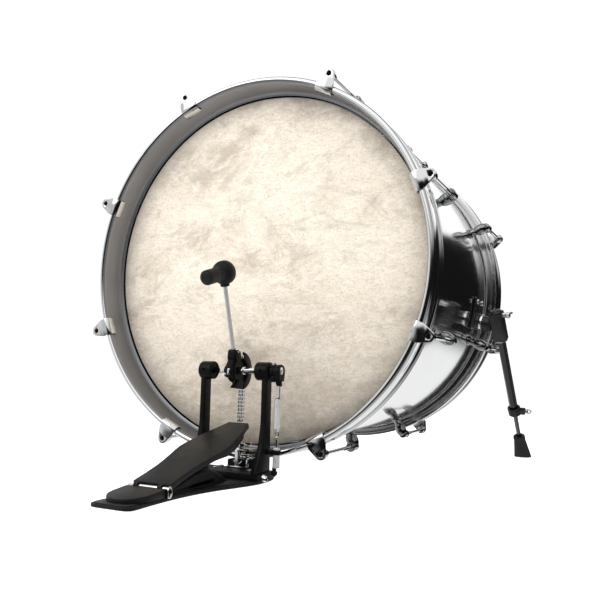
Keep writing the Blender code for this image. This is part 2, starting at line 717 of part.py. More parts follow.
def make_clamp():
    """Upper jaw that presses the bead on to the base's ledge, and its T bolt."""
    top = box("jaw_top", (-0.0180, -0.0220, 0.0369), (0.0180, 0.0110, 0.0412), 0.0010)
    strap = box("jaw_strap", (-0.0180, -0.0260, 0.0134), (-0.0130, -0.0205, 0.0400), 0.0008)
    strap_b = box("jaw_strap_b", (0.0130, -0.0260, 0.0134), (0.0180, -0.0205, 0.0400), 0.0008)
    collar = rod("jaw_collar", (0, -0.0150, 0.0300), (0, -0.0150, 0.0430), 0.0068, 14)
    body = fused([top, strap, strap_b, collar])
    hole = rod("jaw_hole", (0, -0.0150, 0.0), (0, -0.0150, 0.1), 0.0034, 12)
    body = cut(body, [hole])
    body.name = "clamp_jaw"
    pedal_shift(body)
    placed(body, at(0, -0.0235, 0.0134))
    smooth(body)
    finish(body, "chrome")

    screw = rod("bolt_screw", (0, -0.0150, 0.0243), (0, -0.0150, 0.0460), 0.0030, 12)
    boss = rod("bolt_boss", (0, -0.0150, 0.0434), (0, -0.0150, 0.0488), 0.0058, 12)
    wing = box("bolt_wing", (-0.0165, -0.0172, 0.0440), (0.0165, -0.0128, 0.0505), 0.0012)
    body = fused([screw, boss, wing])
    body.name = "clamp_bolt"
    pedal_shift(body)
    placed(body, at(0, -0.0150, 0.0243))
    smooth(body)
    finish(body, "chrome")


make_shell()
make_head("batter_head", False, "calf_film")
make_head("resonant_head", True, "clear_film")
make_hoop("batter_hoop", False)
make_hoop("resonant_hoop", True)
make_tension_gear()
make_spur("right", 1)
make_spur("left", -1)
make_base()
make_heel()
make_footboard()
make_post("post_left", -1)
make_post("post_right", 1)
make_axle()
make_cam()
make_beater()
make_chain()
make_spring()
make_clamp()

for stale in list(bpy.data.meshes):
    if stale.users == 0:
        bpy.data.meshes.remove(stale)
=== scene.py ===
"""Looks of a 22 x 16 inch bass drum with a chain-drive pedal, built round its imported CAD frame.

Metres, +Z up, drum axis along Y, player on the -Y side. Pieces are made in mesh code, ride on
the CAD's bodies and replace the CAD's plain solids. Places come from the frame's own boxes.
"""
import json
import math

import bmesh
import bpy
from mathutils import Matrix, Vector


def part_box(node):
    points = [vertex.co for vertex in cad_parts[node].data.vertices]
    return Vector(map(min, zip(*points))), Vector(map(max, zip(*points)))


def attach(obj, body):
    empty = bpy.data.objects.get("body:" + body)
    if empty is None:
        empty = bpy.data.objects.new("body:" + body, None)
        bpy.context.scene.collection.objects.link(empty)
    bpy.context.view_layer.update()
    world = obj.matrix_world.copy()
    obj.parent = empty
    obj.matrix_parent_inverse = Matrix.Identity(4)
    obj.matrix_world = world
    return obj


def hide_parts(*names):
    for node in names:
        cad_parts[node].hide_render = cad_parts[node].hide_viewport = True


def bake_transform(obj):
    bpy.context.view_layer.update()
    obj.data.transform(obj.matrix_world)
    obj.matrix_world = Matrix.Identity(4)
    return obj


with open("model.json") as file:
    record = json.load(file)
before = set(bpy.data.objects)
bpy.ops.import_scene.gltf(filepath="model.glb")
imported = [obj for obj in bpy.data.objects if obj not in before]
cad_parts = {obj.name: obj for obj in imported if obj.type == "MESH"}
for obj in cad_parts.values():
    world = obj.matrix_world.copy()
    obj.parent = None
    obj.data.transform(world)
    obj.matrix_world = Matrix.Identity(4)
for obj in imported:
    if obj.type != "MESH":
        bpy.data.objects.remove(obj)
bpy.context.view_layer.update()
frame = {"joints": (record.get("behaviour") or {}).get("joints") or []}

X = Vector((1.0, 0.0, 0.0))
Y = Vector((0.0, 1.0, 0.0))
Z = Vector((0.0, 0.0, 1.0))

# ---------------------------------------------------------------- places read from the frame
HOOP_LOW, HOOP_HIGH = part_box("batter_hoop")
SHELL_LOW, SHELL_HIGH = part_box("shell")
AXIS_Z = (HOOP_LOW.z + HOOP_HIGH.z) / 2
FRONT_Y = HOOP_LOW.y
BACK_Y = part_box("resonant_hoop")[1].y
SHELL_R = (SHELL_HIGH.z - SHELL_LOW.z) / 2
JOINTS = {joint["name"]: joint for joint in frame["joints"]}
AXLE = Vector(JOINTS["axle_turn"]["pos_m"])
HINGE = Vector(JOINTS["footboard_press"]["pos_m"])
PEDAL_X = AXLE.x


# ---------------------------------------------------------------- camera
CAMERA_PLACE = Vector((0.543, -1.0091, 0.1617))
CAMERA_AIM = Vector((0.0918, -0.1097, 0.2628))
CAMERA_ROLL = 1.29
CAMERA_LENS = 40.7
SENSOR_WIDTH = 36.0

camera_data = bpy.data.cameras.new("camera")
camera_data.lens = CAMERA_LENS
camera_data.sensor_width = SENSOR_WIDTH
camera = bpy.data.objects.new("camera", camera_data)
bpy.context.scene.collection.objects.link(camera)
aim = (CAMERA_AIM - CAMERA_PLACE).to_track_quat("-Z", "Y").to_matrix()
roll = Matrix.Rotation(math.radians(CAMERA_ROLL), 3, "Z")
camera.matrix_world = Matrix.Translation(CAMERA_PLACE) @ (aim @ roll).to_4x4()
bpy.context.scene.camera = camera
bpy.context.scene.view_settings.view_transform = "Standard"


# ---------------------------------------------------------------- shader helpers
class Paint:
    """A Principled material with short names for wiring procedural nodes."""

    def __init__(self, name, colour, roughness, metallic=0.0, specular=0.5):
        self.mat = bpy.data.materials.new(name)
        self.mat.use_nodes = True
        self.tree = self.mat.node_tree
        self.shader = self.tree.nodes["Principled BSDF"]
        self.set("Base Color", (*colour, 1.0))
        self.set("Roughness", roughness)
        self.set("Metallic", metallic)
        self.set("Specular IOR Level", specular)
        self.coords = self.node("ShaderNodeTexCoord").outputs["Object"]

    def set(self, socket, value):
        self.shader.inputs[socket].default_value = value

    def node(self, kind, **values):
        made = self.tree.nodes.new(kind)
        for key, value in values.items():
            setattr(made, key, value)
        return made

    def link(self, output, target):
        self.tree.links.new(output, target)

    def scaled(self, scale):
        """Object coordinates stretched by a 3-number scale."""
        mapping = self.node("ShaderNodeMapping")
        self.link(self.coords, mapping.inputs["Vector"])
        mapping.inputs["Scale"].default_value = scale
        return mapping.outputs["Vector"]

    def noise(self, scale, detail=4.0, rough=0.5, stretch=(1, 1, 1), distort=0.0):
        tex = self.node("ShaderNodeTexNoise")
        self.link(self.scaled(stretch), tex.inputs["Vector"])
        tex.inputs["Scale"].default_value = scale
        tex.inputs["Detail"].default_value = detail
        tex.inputs["Roughness"].default_value = rough
        tex.inputs["Distortion"].default_value = distort
        return tex.outputs["Fac"]

    def ramp(self, value, stops):
        """Colour ramp; stops are (position, colour or grey)."""
        made = self.node("ShaderNodeValToRGB")
        bar = made.color_ramp
        while len(bar.elements) < len(stops):
            bar.elements.new(0.5)
        for element, (place, colour) in zip(bar.elements, stops):
            element.position = place
            grey = isinstance(colour, float)
            element.color = (colour, colour, colour, 1.0) if grey else (*colour, 1.0)
        self.link(value, made.inputs["Fac"])
        return made.outputs["Color"]

    def mix(self, factor, first, second, mode="MIX"):
        made = self.node("ShaderNodeMix", data_type="RGBA", blend_type=mode)
        for socket, item in ((0, factor), (6, first), (7, second)):
            if isinstance(item, (float, tuple)):
                made.inputs[socket].default_value = item if socket == 0 else (*item, 1.0)
            else:
                self.link(item, made.inputs[socket])
        return made.outputs[2]

    def range(self, value, low, high, from_low=0.0, from_high=1.0):
        made = self.node("ShaderNodeMapRange")
        self.link(value, made.inputs["Value"])
        for socket, number in (("From Min", from_low), ("From Max", from_high), ("To Min", low),
                ("To Max", high)):
            made.inputs[socket].default_value = number
        return made.outputs["Result"]

    def sum(self, operation, first, second):
        made = self.node("ShaderNodeMath", operation=operation)
        self.link(first, made.inputs[0])
        self.link(second, made.inputs[1])
        return made.outputs[0]

    def bump(self, height, distance, strength=1.0):
        made = self.node("ShaderNodeBump")
        made.inputs["Distance"].default_value = distance
        made.inputs["Strength"].default_value = strength
        self.link(height, made.inputs["Height"])
        self.link(made.outputs["Normal"], self.shader.inputs["Normal"])
        return made

    def use(self, output, socket):
        self.link(output, self.shader.inputs[socket])


def polished(name, colour, low, high, stretch, scale=60.0, dents=0.00002, metallic=1.0):
    """Bright plated metal: faint polishing marks in the gloss and the surface."""
    paint = Paint(name, colour, low, metallic)
    marks = paint.noise(scale, 6.0, 0.65, stretch)
    paint.use(paint.range(marks, low, high, 0.35, 0.75), "Roughness")
    haze = paint.noise(7.0, 3.0, 0.5)
    darker = tuple(c * 0.93 for c in colour)
    paint.use(paint.mix(paint.range(haze, 0.0, 1.0, 0.4, 0.7), colour, darker), "Base Color")
    paint.bump(paint.noise(scale * 2.0, 3.0, 0.6, stretch), dents, 0.15)
    return paint.mat


def enamel(name, colour, roughness, specular, scale=900.0, height=0.00006, metallic=0.0):
    """Satin black coating with fine orange peel and slightly worn tone."""
    paint = Paint(name, colour, roughness, metallic, specular)
    cloud = paint.noise(24.0, 5.0, 0.6)
    lighter = tuple(min(1.0, c * 1.7 + 0.002) for c in colour)
    paint.use(paint.mix(paint.range(cloud, 0.0, 1.0, 0.35, 0.75), colour, lighter), "Base Color")
    grain = paint.noise(scale, 3.0, 0.6)
    paint.use(paint.range(cloud, roughness - 0.05, roughness + 0.08, 0.3, 0.7), "Roughness")
    paint.bump(grain, height, 0.5)
    return paint.mat


def calfskin(name):
    """Cream film printed like old calfskin: tan clouds, pale veins, fine fibres and dark flecks; painted
    shade darkens it towards the right, the bottom, the far left and the hoop's edge.
    """
    paint = Paint(name, (0.8, 0.74, 0.62), 0.62, 0.0, 0.2)
    cream = (0.91, 0.818, 0.694)
    straw = (0.825, 0.732, 0.61)
    tan = (0.585, 0.505, 0.42)
    flat = (1.0, 0.15, 1.0)
    cloud = paint.noise(6.5, 7.0, 0.66, (0.8, 0.15, 1.2), 0.9)
    base = paint.ramp(cloud, [(0.36, tan), (0.46, straw), (0.54, cream)])
    blotch = paint.noise(15.0, 8.0, 0.74, (0.8, 0.15, 1.3), 1.6)
    base = paint.mix(paint.range(blotch, 0.6, 0.0, 0.36, 0.5), base, (0.52, 0.47, 0.39))
    pale = paint.noise(24.0, 7.0, 0.74, (0.7, 0.15, 1.2), 1.2)
    base = paint.mix(paint.range(pale, 0.0, 0.7, 0.5, 0.66), base, (0.985, 0.905, 0.805))
    fibre = paint.noise(150.0, 8.0, 0.8, (0.35, 0.2, 1.0), 2.0)
    base = paint.mix(paint.range(fibre, 0.42, 0.0, 0.36, 0.54), base, (0.4, 0.345, 0.275))
    fleck = paint.noise(520.0, 3.0, 0.75, (1.0, 0.2, 0.7))
    base = paint.mix(paint.range(fleck, 0.42, 0.0, 0.33, 0.45), base, (0.27, 0.225, 0.175))
    # painted shade: darker towards the right, the bottom and the far left, as light from the upper left would
    # fall
    parts = paint.node("ShaderNodeSeparateXYZ")
    paint.link(paint.coords, parts.inputs[0])
    painted_shade_right = paint.range(parts.outputs[0], 1.0, 0.9, -0.05, 0.27)
    painted_shade_low = paint.range(parts.outputs[2], 0.74, 1.0, AXIS_Z - 0.28, AXIS_Z)
    left = paint.range(parts.outputs[0], 0.92, 1.0, -0.26, -0.1)
    centred = paint.node("ShaderNodeVectorMath", operation="SUBTRACT")
    paint.link(paint.coords, centred.inputs[0])
    centred.inputs[1].default_value = (0.0, HOOP_LOW.y, AXIS_Z)
    spread = paint.node("ShaderNodeVectorMath", operation="LENGTH")
    paint.link(centred.outputs[0], spread.inputs[0])
    # painted shadow of the hoop: the film darkens in a ring near its edge
    rim = paint.range(spread.outputs["Value"], 1.0, 0.74, 0.252, 0.286)
    tone = paint.sum("MULTIPLY", paint.sum("MULTIPLY", painted_shade_right, painted_shade_low), paint.sum("MULTIPLY", left, rim))
    shade = paint.ramp(tone, [(0.0, 0.0), (1.0, 1.0)])
    base = paint.mix(1.0, base, shade, "MULTIPLY")
    paint.use(base, "Base Color")
    paint.use(paint.range(cloud, 0.5, 0.68, 0.35, 0.65), "Roughness")
    paint.bump(paint.noise(260.0, 5.0, 0.65, flat), 0.0001, 0.35)
    return paint.mat


def coated_film(name):
    """White sprayed coating of the far head: fine grain and faint handling clouds."""
    paint = Paint(name, (0.86, 0.86, 0.85), 0.55, 0.0, 0.3)
    cloud = paint.noise(9.0, 5.0, 0.6, (1.0, 0.2, 1.0), 0.4)
    grain = paint.noise(700.0, 3.0, 0.7, (1.0, 0.2, 1.0))
    base = paint.mix(paint.range(cloud, 0.0, 1.0, 0.38, 0.66), (0.88, 0.88, 0.865), (0.8, 0.8, 0.785))
    base = paint.mix(paint.range(grain, 0.16, 0.0, 0.36, 0.52), base, (0.62, 0.62, 0.61))
    paint.use(base, "Base Color")
    paint.use(paint.range(grain, 0.45, 0.64, 0.35, 0.65), "Roughness")
    paint.bump(grain, 0.00008, 0.4)
    return paint.mat


# colour, lowest and highest roughness, stretch, noise scale, dent depth, metallic
POLISHED = {
    "shell_steel": ((0.93, 0.935, 0.94), 0.095, 0.135, (1.0, 6.0, 1.0), 60.0, 0.000005),
    "hoop_steel": ((0.88, 0.885, 0.89), 0.1, 0.15, (1.0, 5.0, 1.0), 40.0, 0.000004),
    # the hoop's inner wall: satin steel painted darker than the rim, as shade
    "hoop_inside_painted_shade": ((0.28, 0.285, 0.3), 0.28, 0.38, (1.0, 5.0, 1.0), 30.0, 0.000004, 0.75),
    "flesh_steel": ((0.66, 0.66, 0.665), 0.13, 0.19, (1.0, 3.0, 1.0), 12.0, 0.000002),
    "chrome": ((0.93, 0.935, 0.94), 0.05, 0.13, (1.0, 1.0, 1.0), 180.0, 0.00001),
    "lug_chrome": ((0.34, 0.342, 0.346), 0.08, 0.14, (1.0, 1.0, 1.0), 150.0, 0.00001),
    "tube_chrome": ((0.1, 0.1, 0.102), 0.14, 0.22, (1.0, 1.0, 0.2), 120.0, 0.00001),
    "satin_steel": ((0.52, 0.52, 0.51), 0.24, 0.32, (1.0, 1.0, 0.3), 30.0, 0.0000005, 0.5),
    "spring_steel": ((0.8, 0.8, 0.79), 0.26, 0.34, (1.0, 1.0, 0.3), 30.0, 0.0000005, 0.6),
    "oiled_steel": ((0.05, 0.05, 0.05), 0.22, 0.34, (1.0, 1.0, 1.0), 240.0, 0.00001),
    "claw_steel": ((0.72, 0.724, 0.73), 0.09, 0.15, (1.0, 1.0, 1.0), 90.0, 0.000002),
    "dark_rod": ((0.2, 0.2, 0.205), 0.16, 0.26, (1.0, 1.0, 0.2), 140.0, 0.00001),
}
# colour, roughness, specular, grain scale, grain height, metallic
ENAMELLED = {
    "black_chrome": ((0.035, 0.035, 0.037), 0.24, 0.5, 700.0, 0.00002, 0.75),
    "enamel": ((0.008, 0.008, 0.0084), 0.44, 0.19),
    "post_enamel": ((0.0022, 0.0022, 0.0024), 0.34, 0.12),
    "beater_plastic": ((0.0065, 0.0068, 0.007), 0.5, 0.2, 1600.0, 0.00008),
    "rubber": ((0.014, 0.014, 0.015), 0.66, 0.3, 1400.0, 0.0001),
    # flat black for the gap behind the hoop wall: painted shadow
    "painted_gap_shadow": ((0.003, 0.003, 0.003), 0.8, 0.05, 500.0, 0.00005),
    "lining": ((0.022, 0.017, 0.014), 0.6, 0.25, 800.0, 0.00008),
}
MATERIALS = {name: polished(name, *look) for name, look in POLISHED.items()}
MATERIALS.update({name: enamel(name, *look) for name, look in ENAMELLED.items()})
MATERIALS["calfskin"] = calfskin("calfskin")
MATERIALS["coated_film"] = coated_film("coated_film")


# ---------------------------------------------------------------- mesh helpers
def piece(name, mesh, material, body, *replaced, slot=None):
    """Put a finished mesh in the scene, riding on its CAD body when one is named."""
    mesh.name = name
    mesh.materials.clear()
    mesh.materials.append(MATERIALS[material])
    obj = bpy.data.objects.new(name, mesh)
    bpy.context.scene.collection.objects.link(obj)
    if body:
        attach(obj, body)
    for node in replaced:
        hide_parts(node)
    return obj


def shaded(mesh, angle=32.0):
    mesh.shade_smooth()
    mesh.set_sharp_from_angle(angle=math.radians(angle))
    return mesh


def finished(work, angle=32.0):
    bmesh.ops.remove_doubles(work, verts=work.verts, dist=0.000004)
    bmesh.ops.recalc_face_normals(work, faces=work.faces)
    mesh = bpy.data.meshes.new("mesh")
    work.to_mesh(mesh)
    work.free()
    return shaded(mesh, angle)


def fillet(points, radius, steps=4, closed=True):
    """Round the corners of a polyline. A point may carry its own radius as a third value."""
    result = []
    count = len(points)
    for i, point in enumerate(points):
        here = Vector(point[:2])
        size = point[2] if len(point) > 2 else radius
        if (not closed and i in (0, count - 1)) or size <= 0:
            result.append(here)
            continue
        before = Vector(points[i - 1][:2]) - here
        after = Vector(points[(i + 1) % count][:2]) - here
        angle = before.angle(after, math.pi)
        if angle > math.radians(176):
            result.append(here)
            continue
        reach = min(size / math.tan(angle / 2), before.length * 0.49, after.length * 0.49)
        start = here + before.normalized() * reach
        end = here + after.normalized() * reach
        for k in range(steps + 1):
            t = k / steps
            result.append(start * (1 - t) ** 2 + here * 2 * t * (1 - t) + end * t ** 2)
    return result


def lathe(profile, steps=48, closed=False, angle=32.0):
    """Turn (radius, height) points round Z; radius 0 makes a pole."""
    work = bmesh.new()
    rings = []
    for radius, height in profile:
        if radius < 1e-7:
            rings.append([work.verts.new((0.0, 0.0, height))])
            continue
        ring = []
        for i in range(steps):
            a = math.tau * i / steps
            ring.append(work.verts.new((radius * math.cos(a), radius * math.sin(a), height)))
        rings.append(ring)
    pairs = list(zip(rings, rings[1:]))
    if closed:
        pairs.append((rings[-1], rings[0]))
    for low, high in pairs:
        for i in range(steps):
            j = (i + 1) % steps
            corners = [low[i % len(low)], low[j % len(low)], high[j % len(high)], high[i % len(high)]]
            unique = list(dict.fromkeys(corners))
            if len(unique) > 2:
                work.faces.new(unique)
    return finished(work, angle)


def turned(points, radius, corner_steps, steps):
    """Turn a profile that starts and ends on the axis, its corners rounded."""
    return lathe(fillet(points, radius, corner_steps, closed=False), steps)


def cylinder(radius, low, high, steps):
    return lathe([(0.0, low), (radius, low), (radius, high), (0.0, high)], steps)


def pin_shape(radius, low, high, corner, corner_steps, steps):
    """Cylinder with rounded ends."""
    return turned([(0.0, low, 0), (radius, low), (radius, high), (0.0, high, 0)], corner, corner_steps,
        steps)


def collar_ring(inner, outer, low, high, radius, corner_steps, steps):
    """Turn a rectangle with rounded corners into a ring."""
    section = [(inner, low), (outer, low), (outer, high), (inner, high)]
    return lathe(fillet(section, radius, corner_steps), steps, closed=True)


def beveled(mesh, width, segments=2, angle=30.0):
    """Round the sharp edges of a mesh."""
    work = bmesh.new()
    work.from_mesh(mesh)
    limit = math.radians(angle)
    edges = [e for e in work.edges if e.is_manifold and e.calc_face_angle(0.0) > limit]
    bmesh.ops.bevel(work, geom=edges, offset=width, segments=segments, profile=0.5, affect="EDGES",
        clamp_overlap=True)
    work.to_mesh(mesh)
    work.free()
    return shaded(mesh, 40.0)


def prism(outline, low, high, bevel=0.0, segments=2):
    """Extrude an (x, y) outline along Z from low to high."""
    work = bmesh.new()
    bottom = [work.verts.new((p[0], p[1], low)) for p in outline]
    face = work.faces.new(bottom)
    lifted = bmesh.ops.extrude_face_region(work, geom=[face])
    tops = [v for v in lifted["geom"] if isinstance(v, bmesh.types.BMVert)]
    bmesh.ops.translate(work, verts=tops, vec=(0.0, 0.0, high - low))
    mesh = finished(work)
    return beveled(mesh, bevel, segments, 50.0) if bevel else mesh


def block(low, high, bevel, segments=3):
    """Box with rounded edges."""
    work = bmesh.new()
    bmesh.ops.create_cube(work, size=1.0)
    size = Vector(high) - Vector(low)
    middle = (Vector(high) + Vector(low)) / 2
    for vert in work.verts:
        vert.co = Vector((vert.co.x * size.x, vert.co.y * size.y, vert.co.z * size.z)) + middle
    return beveled(finished(work), bevel, segments)


def tube(path, radius, sides, closed=False):
    """Sweep a circle along points with turning kept to a minimum."""
    work = bmesh.new()
    points = [Vector(p) for p in path]
    count = len(points)
    rings = []
    side = None
    for i, point in enumerate(points):
        before = points[i - 1] if (closed or i > 0) else point
        after = points[(i + 1) % count] if (closed or i < count - 1) else point
        along = (after - before).normalized()
        if side is None:
            side = along.orthogonal().normalized()
        side = (side - along * side.dot(along)).normalized()
        up = along.cross(side)
        ring = []
        for k in range(sides):
            a = math.tau * k / sides
            ring.append(work.verts.new(point + (side * math.cos(a) + up * math.sin(a)) * radius))
        rings.append(ring)
    pairs = list(zip(rings, rings[1:]))
    if closed:
        pairs.append((rings[-1], rings[0]))
    for low, high in pairs:
        for k in range(sides):
            j = (k + 1) % sides
            work.faces.new((low[k], low[j], high[j], high[k]))
    if not closed:
        work.faces.new(rings[0][::-1])
        work.faces.new(rings[-1])
    return finished(work)


def merged(meshes, angle=32.0):
    """Several closed shapes in one mesh."""
    work = bmesh.new()
    for mesh in meshes:
        work.from_mesh(mesh)
    result = bpy.data.meshes.new("mesh")
    work.to_mesh(result)
    work.free()
    return shaded(result, angle)


def moved(mesh, matrix):
    mesh.transform(matrix)
    if matrix.determinant() < 0:
        mesh.flip_normals()
    return mesh


def copied(mesh, matrix):
    return moved(mesh.copy(), matrix)


def carved(mesh, cutters, operation="DIFFERENCE"):
    """Cut or join closed shapes with the exact solver."""
    base = bpy.data.objects.new("carve_base", mesh)
    bpy.context.scene.collection.objects.link(base)
    for cutter in cutters:
        tool = bpy.data.objects.new("carve_tool", cutter)
        bpy.context.scene.collection.objects.link(tool)
        step = base.modifiers.new("carve", "BOOLEAN")
        step.operation = operation
        step.solver = "EXACT"
        step.object = tool
        bpy.context.view_layer.update()
        graph = bpy.context.evaluated_depsgraph_get()
        fresh = bpy.data.meshes.new_from_object(base.evaluated_get(graph))
        base.modifiers.clear()
        base.data = fresh
        bpy.data.objects.remove(tool)
    result = base.data
    bpy.data.objects.remove(base)
    return shaded(result, 35.0)


def place(origin, z_axis=Z, x_axis=X):
    """Matrix with local Z exactly along z_axis and local X as near as it can be to x_axis."""
    z_axis = Vector(z_axis).normalized()
    y_axis = z_axis.cross(Vector(x_axis)).normalized()
    x_axis = y_axis.cross(z_axis)
    turn = Matrix((x_axis, y_axis, z_axis)).transposed().to_4x4()
    return Matrix.Translation(Vector(origin)) @ turn


def shift(x, y, z):
    return Matrix.Translation((x, y, z))


def arc(centre, radius, start, end, steps):
    points = []
    for i in range(steps + 1):
        a = math.radians(start + (end - start) * i / steps)
        points.append((centre[0] + radius * math.cos(a), centre[1] + radius * math.sin(a)))
    return points


ALONG_X = place((0, 0, 0), X, Y)
UPRIGHT = Matrix.Rotation(math.radians(90), 4, "X")        # lays an outline's y along +Z
SIDEWAYS = Matrix.Rotation(math.radians(90), 4, "Y")


def hexagon(radius, turn=0.0):
    return arc((0.0, 0.0), radius, turn, turn + 300.0, 5)


def side_prism(outline, low, high, bevel=0.0, segments=2):
    """Extrude a (y, z) outline along X from low to high."""
    mesh = prism(outline, low, high, bevel, segments)
    return moved(mesh, Matrix(((0, 0, 1, 0), (1, 0, 0, 0), (0, 1, 0, 0), (0, 0, 0, 1))))


def mirrored(half):
    """Outline from its right half and the same points at -x on the way back."""
    return half + [Vector((-p.x, p.y)) for p in reversed(half)]


def smooth_line(points, steps):
    """Rounded curve through (a, b) points."""
    result = []
    count = len(points)
    for i in range(count - 1):
        p = [Vector(points[max(0, min(count - 1, i + k))]) for k in (-1, 0, 1, 2)]
        for k in range(steps):
            t = k / steps
            result.append(0.5 * (2 * p[1] + (p[2] - p[0]) * t + (2 * p[0] - 5 * p[1] + 4 * p[2]
                - p[3]) * t ** 2 + (3 * p[1] - p[0] - 3 * p[2] + p[3]) * t ** 3))
    result.append(Vector(points[-1]))
    return result


def trimmed(mesh, point, normal):
    """Cut away everything on the side the normal points to and close the cut."""
    work = bmesh.new()
    work.from_mesh(mesh)
    everything = work.verts[:] + work.edges[:] + work.faces[:]
    cut = bmesh.ops.bisect_plane(work, geom=everything, plane_co=point, plane_no=normal, clear_outer=True)
    edges = [item for item in cut["geom_cut"] if isinstance(item, bmesh.types.BMEdge)]
    bmesh.ops.holes_fill(work, edges=edges)
    return finished(work, 35.0)


def subdivided(mesh, length):
    """Split edges longer than a length, so a piece that bends bends smoothly."""
    work = bmesh.new()
    work.from_mesh(mesh)
    bmesh.ops.triangulate(work, faces=work.faces)
    for _ in range(4):
        long_edges = [edge for edge in work.edges if edge.calc_length() > length]
        if not long_edges:
            break
        bmesh.ops.subdivide_edges(work, edges=long_edges, cuts=1)
        bmesh.ops.triangulate(work, faces=work.faces)
    return finished(work, 35.0)


ROUND_DRUM = place((0.0, FRONT_Y, AXIS_Z), Y, X)
ROUND_DRUM_BACK = place((0.0, BACK_Y, AXIS_Z), -Y, X)
SIDES = (("batter", ROUND_DRUM), ("resonant", ROUND_DRUM_BACK))


# ---------------------------------------------------------------- shell, heads, hoops
DRUM_STEPS = 224
HOOP_DEEP = HOOP_HIGH.y - HOOP_LOW.y
HEAD_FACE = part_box("batter_head")[0].y - FRONT_Y      # film's face behind the hoop's outer plane
WALL_R = 0.2878             # hoop's inner wall
FILM_R = 0.2806             # outside of the film's collar


def make_shell():
    near = SHELL_LOW.y - FRONT_Y
    far = SHELL_HIGH.y - FRONT_Y
    outer = SHELL_R - 0.00004
    inner = SHELL_R - 0.0016
    span = [near + 0.0016 + (far - near - 0.0032) * i / 10 for i in range(11)]
    profile = [(inner, near + 0.0006), (inner + 0.0007, near), (outer - 0.0005, near + 0.0003)]
    profile += [(outer, y) for y in span]
    profile += [(outer - 0.0005, far - 0.0003), (inner + 0.0007, far), (inner, far - 0.0006)]
    mesh = moved(lathe(profile, DRUM_STEPS, closed=True), ROUND_DRUM)
    piece("shell_skin", mesh, "shell_steel", "drum", "shell")


def make_head(side, matrix, film_material):
    """Film with its rolled collar, and the flesh hoop behind the drum hoop."""
    edge = SHELL_R - 0.0002
    flats = [(edge * i / 24, HEAD_FACE + 0.0006 * (i / 24) ** 6) for i in range(24)]
    collar = [(FILM_R - 0.0018, HEAD_FACE + 0.0007), (FILM_R - 0.0006, HEAD_FACE + 0.0014),
        (FILM_R, HEAD_FACE + 0.0028), (FILM_R + 0.0001, HEAD_FACE + 0.0045),
        (FILM_R + 0.0001, HEAD_FACE + 0.014), (SHELL_R + 0.0004, HEAD_FACE + 0.014),
        (SHELL_R + 0.0004, HEAD_FACE + 0.003), (SHELL_R - 0.0009, HEAD_FACE + 0.0014)]
    back = [(edge * i / 6, HEAD_FACE + 0.0009) for i in range(5, -1, -1)]
    film = moved(lathe(flats + collar + back, DRUM_STEPS), matrix)
    piece(f"{side}_film", film, film_material, "drum", f"{side}_head")
    low = HOOP_DEEP + 0.0003
    ring = collar_ring(0.2809, 0.2924, low, low + 0.0106, 0.0012, 3, DRUM_STEPS)
    flesh = moved(ring, matrix)
    piece(f"{side}_flesh_hoop", flesh, "flesh_steel", "drum")


def oval(centre_r, centre_depth, radius_r, radius_depth, start, end, steps):
    """Points round an oval bead: 0 degrees is outermost, 90 faces the player, 180 is innermost."""
    points = []
    for i in range(steps + 1):
        a = math.radians(start + (end - start) * i / steps)
        points.append((centre_r + radius_r * math.cos(a), centre_depth - radius_depth * math.sin(a)))
    return points


def make_hoop(side, matrix):
    """Rolled front bead, deep groove, bowed band and a double rear bead; a satin wall inside, painted darker
    than the rim as shade, and a black ring in the gap behind it as painted shadow.
    """
    bead = oval(0.29235, 0.0057, 0.0051, 0.0056, 126.0, -28.0, 22)
    neck = [(0.295, 0.0106), (0.2931, 0.0113), (0.2924, 0.0124), (0.2926, 0.0138), (0.2938, 0.0148)]
    band = [(0.2947, 0.0156), (0.29535, 0.02), (0.2956, 0.026), (0.29555, 0.033), (0.295, 0.0382)]
    step = [(0.2945, 0.0394), (0.2934, 0.04), (0.2933, 0.041), (0.2948, 0.0416)]
    rear = oval(0.2943, 0.045, 0.0029, 0.003, 62.0, -32.0, 8)
    deep = HOOP_DEEP
    lip = [(0.2956, deep - 0.004), (0.2956, deep - 0.0032), (0.2972, deep - 0.0025),
        (0.2975, deep - 0.0013), (0.297, deep - 0.0003), (0.2955, deep - 0.0001)]
    inside = [(WALL_R + 0.001, deep - 0.0001), (WALL_R + 0.001, 0.0076), (WALL_R + 0.0025, 0.003)]
    rim = moved(lathe(bead + neck + band + step + rear + lip + inside, DRUM_STEPS, closed=True,
        angle=50.0), matrix)
    piece(f"{side}_hoop_rim", rim, "hoop_steel", "drum", f"{side}_hoop")
    wall_end = HEAD_FACE - 0.001
    wall = [(WALL_R + 0.0009, 0.0074), (WALL_R + 0.0022, 0.003)]
    wall += oval(0.2921, 0.0059, 0.005, 0.0054, 122.0, 180.0, 8)
    wall += [(WALL_R - 0.0006, 0.009), (WALL_R - 0.0004, 0.03), (WALL_R - 0.0004, wall_end - 0.0075),
        (WALL_R - 0.0009, wall_end - 0.004), (WALL_R - 0.0022, wall_end - 0.0016),
        (WALL_R - 0.004, wall_end - 0.0004), (0.2827, wall_end + 0.0001), (0.2826, wall_end + 0.001),
        (WALL_R + 0.0009, wall_end + 0.001)]
    # satin inner wall in a darker copy of the steel: painted shade
    lined = moved(lathe(wall, DRUM_STEPS, closed=True), matrix)
    piece(f"{side}_hoop_wall", lined, "hoop_inside_painted_shade", "drum")
    # black ring in the gap between the wall and the head's collar: painted shadow
    foot = [(WALL_R + 0.0009, wall_end + 0.0012), (0.2828, wall_end + 0.0012),
        (0.282, wall_end + 0.0018), (0.2818, deep - 0.0003), (WALL_R + 0.0009, deep - 0.0003)]
    shadow_ring = moved(lathe(foot, DRUM_STEPS, closed=True), matrix)
    piece(f"{side}_hoop_gap_shadow", shadow_ring, "painted_gap_shadow", "drum")


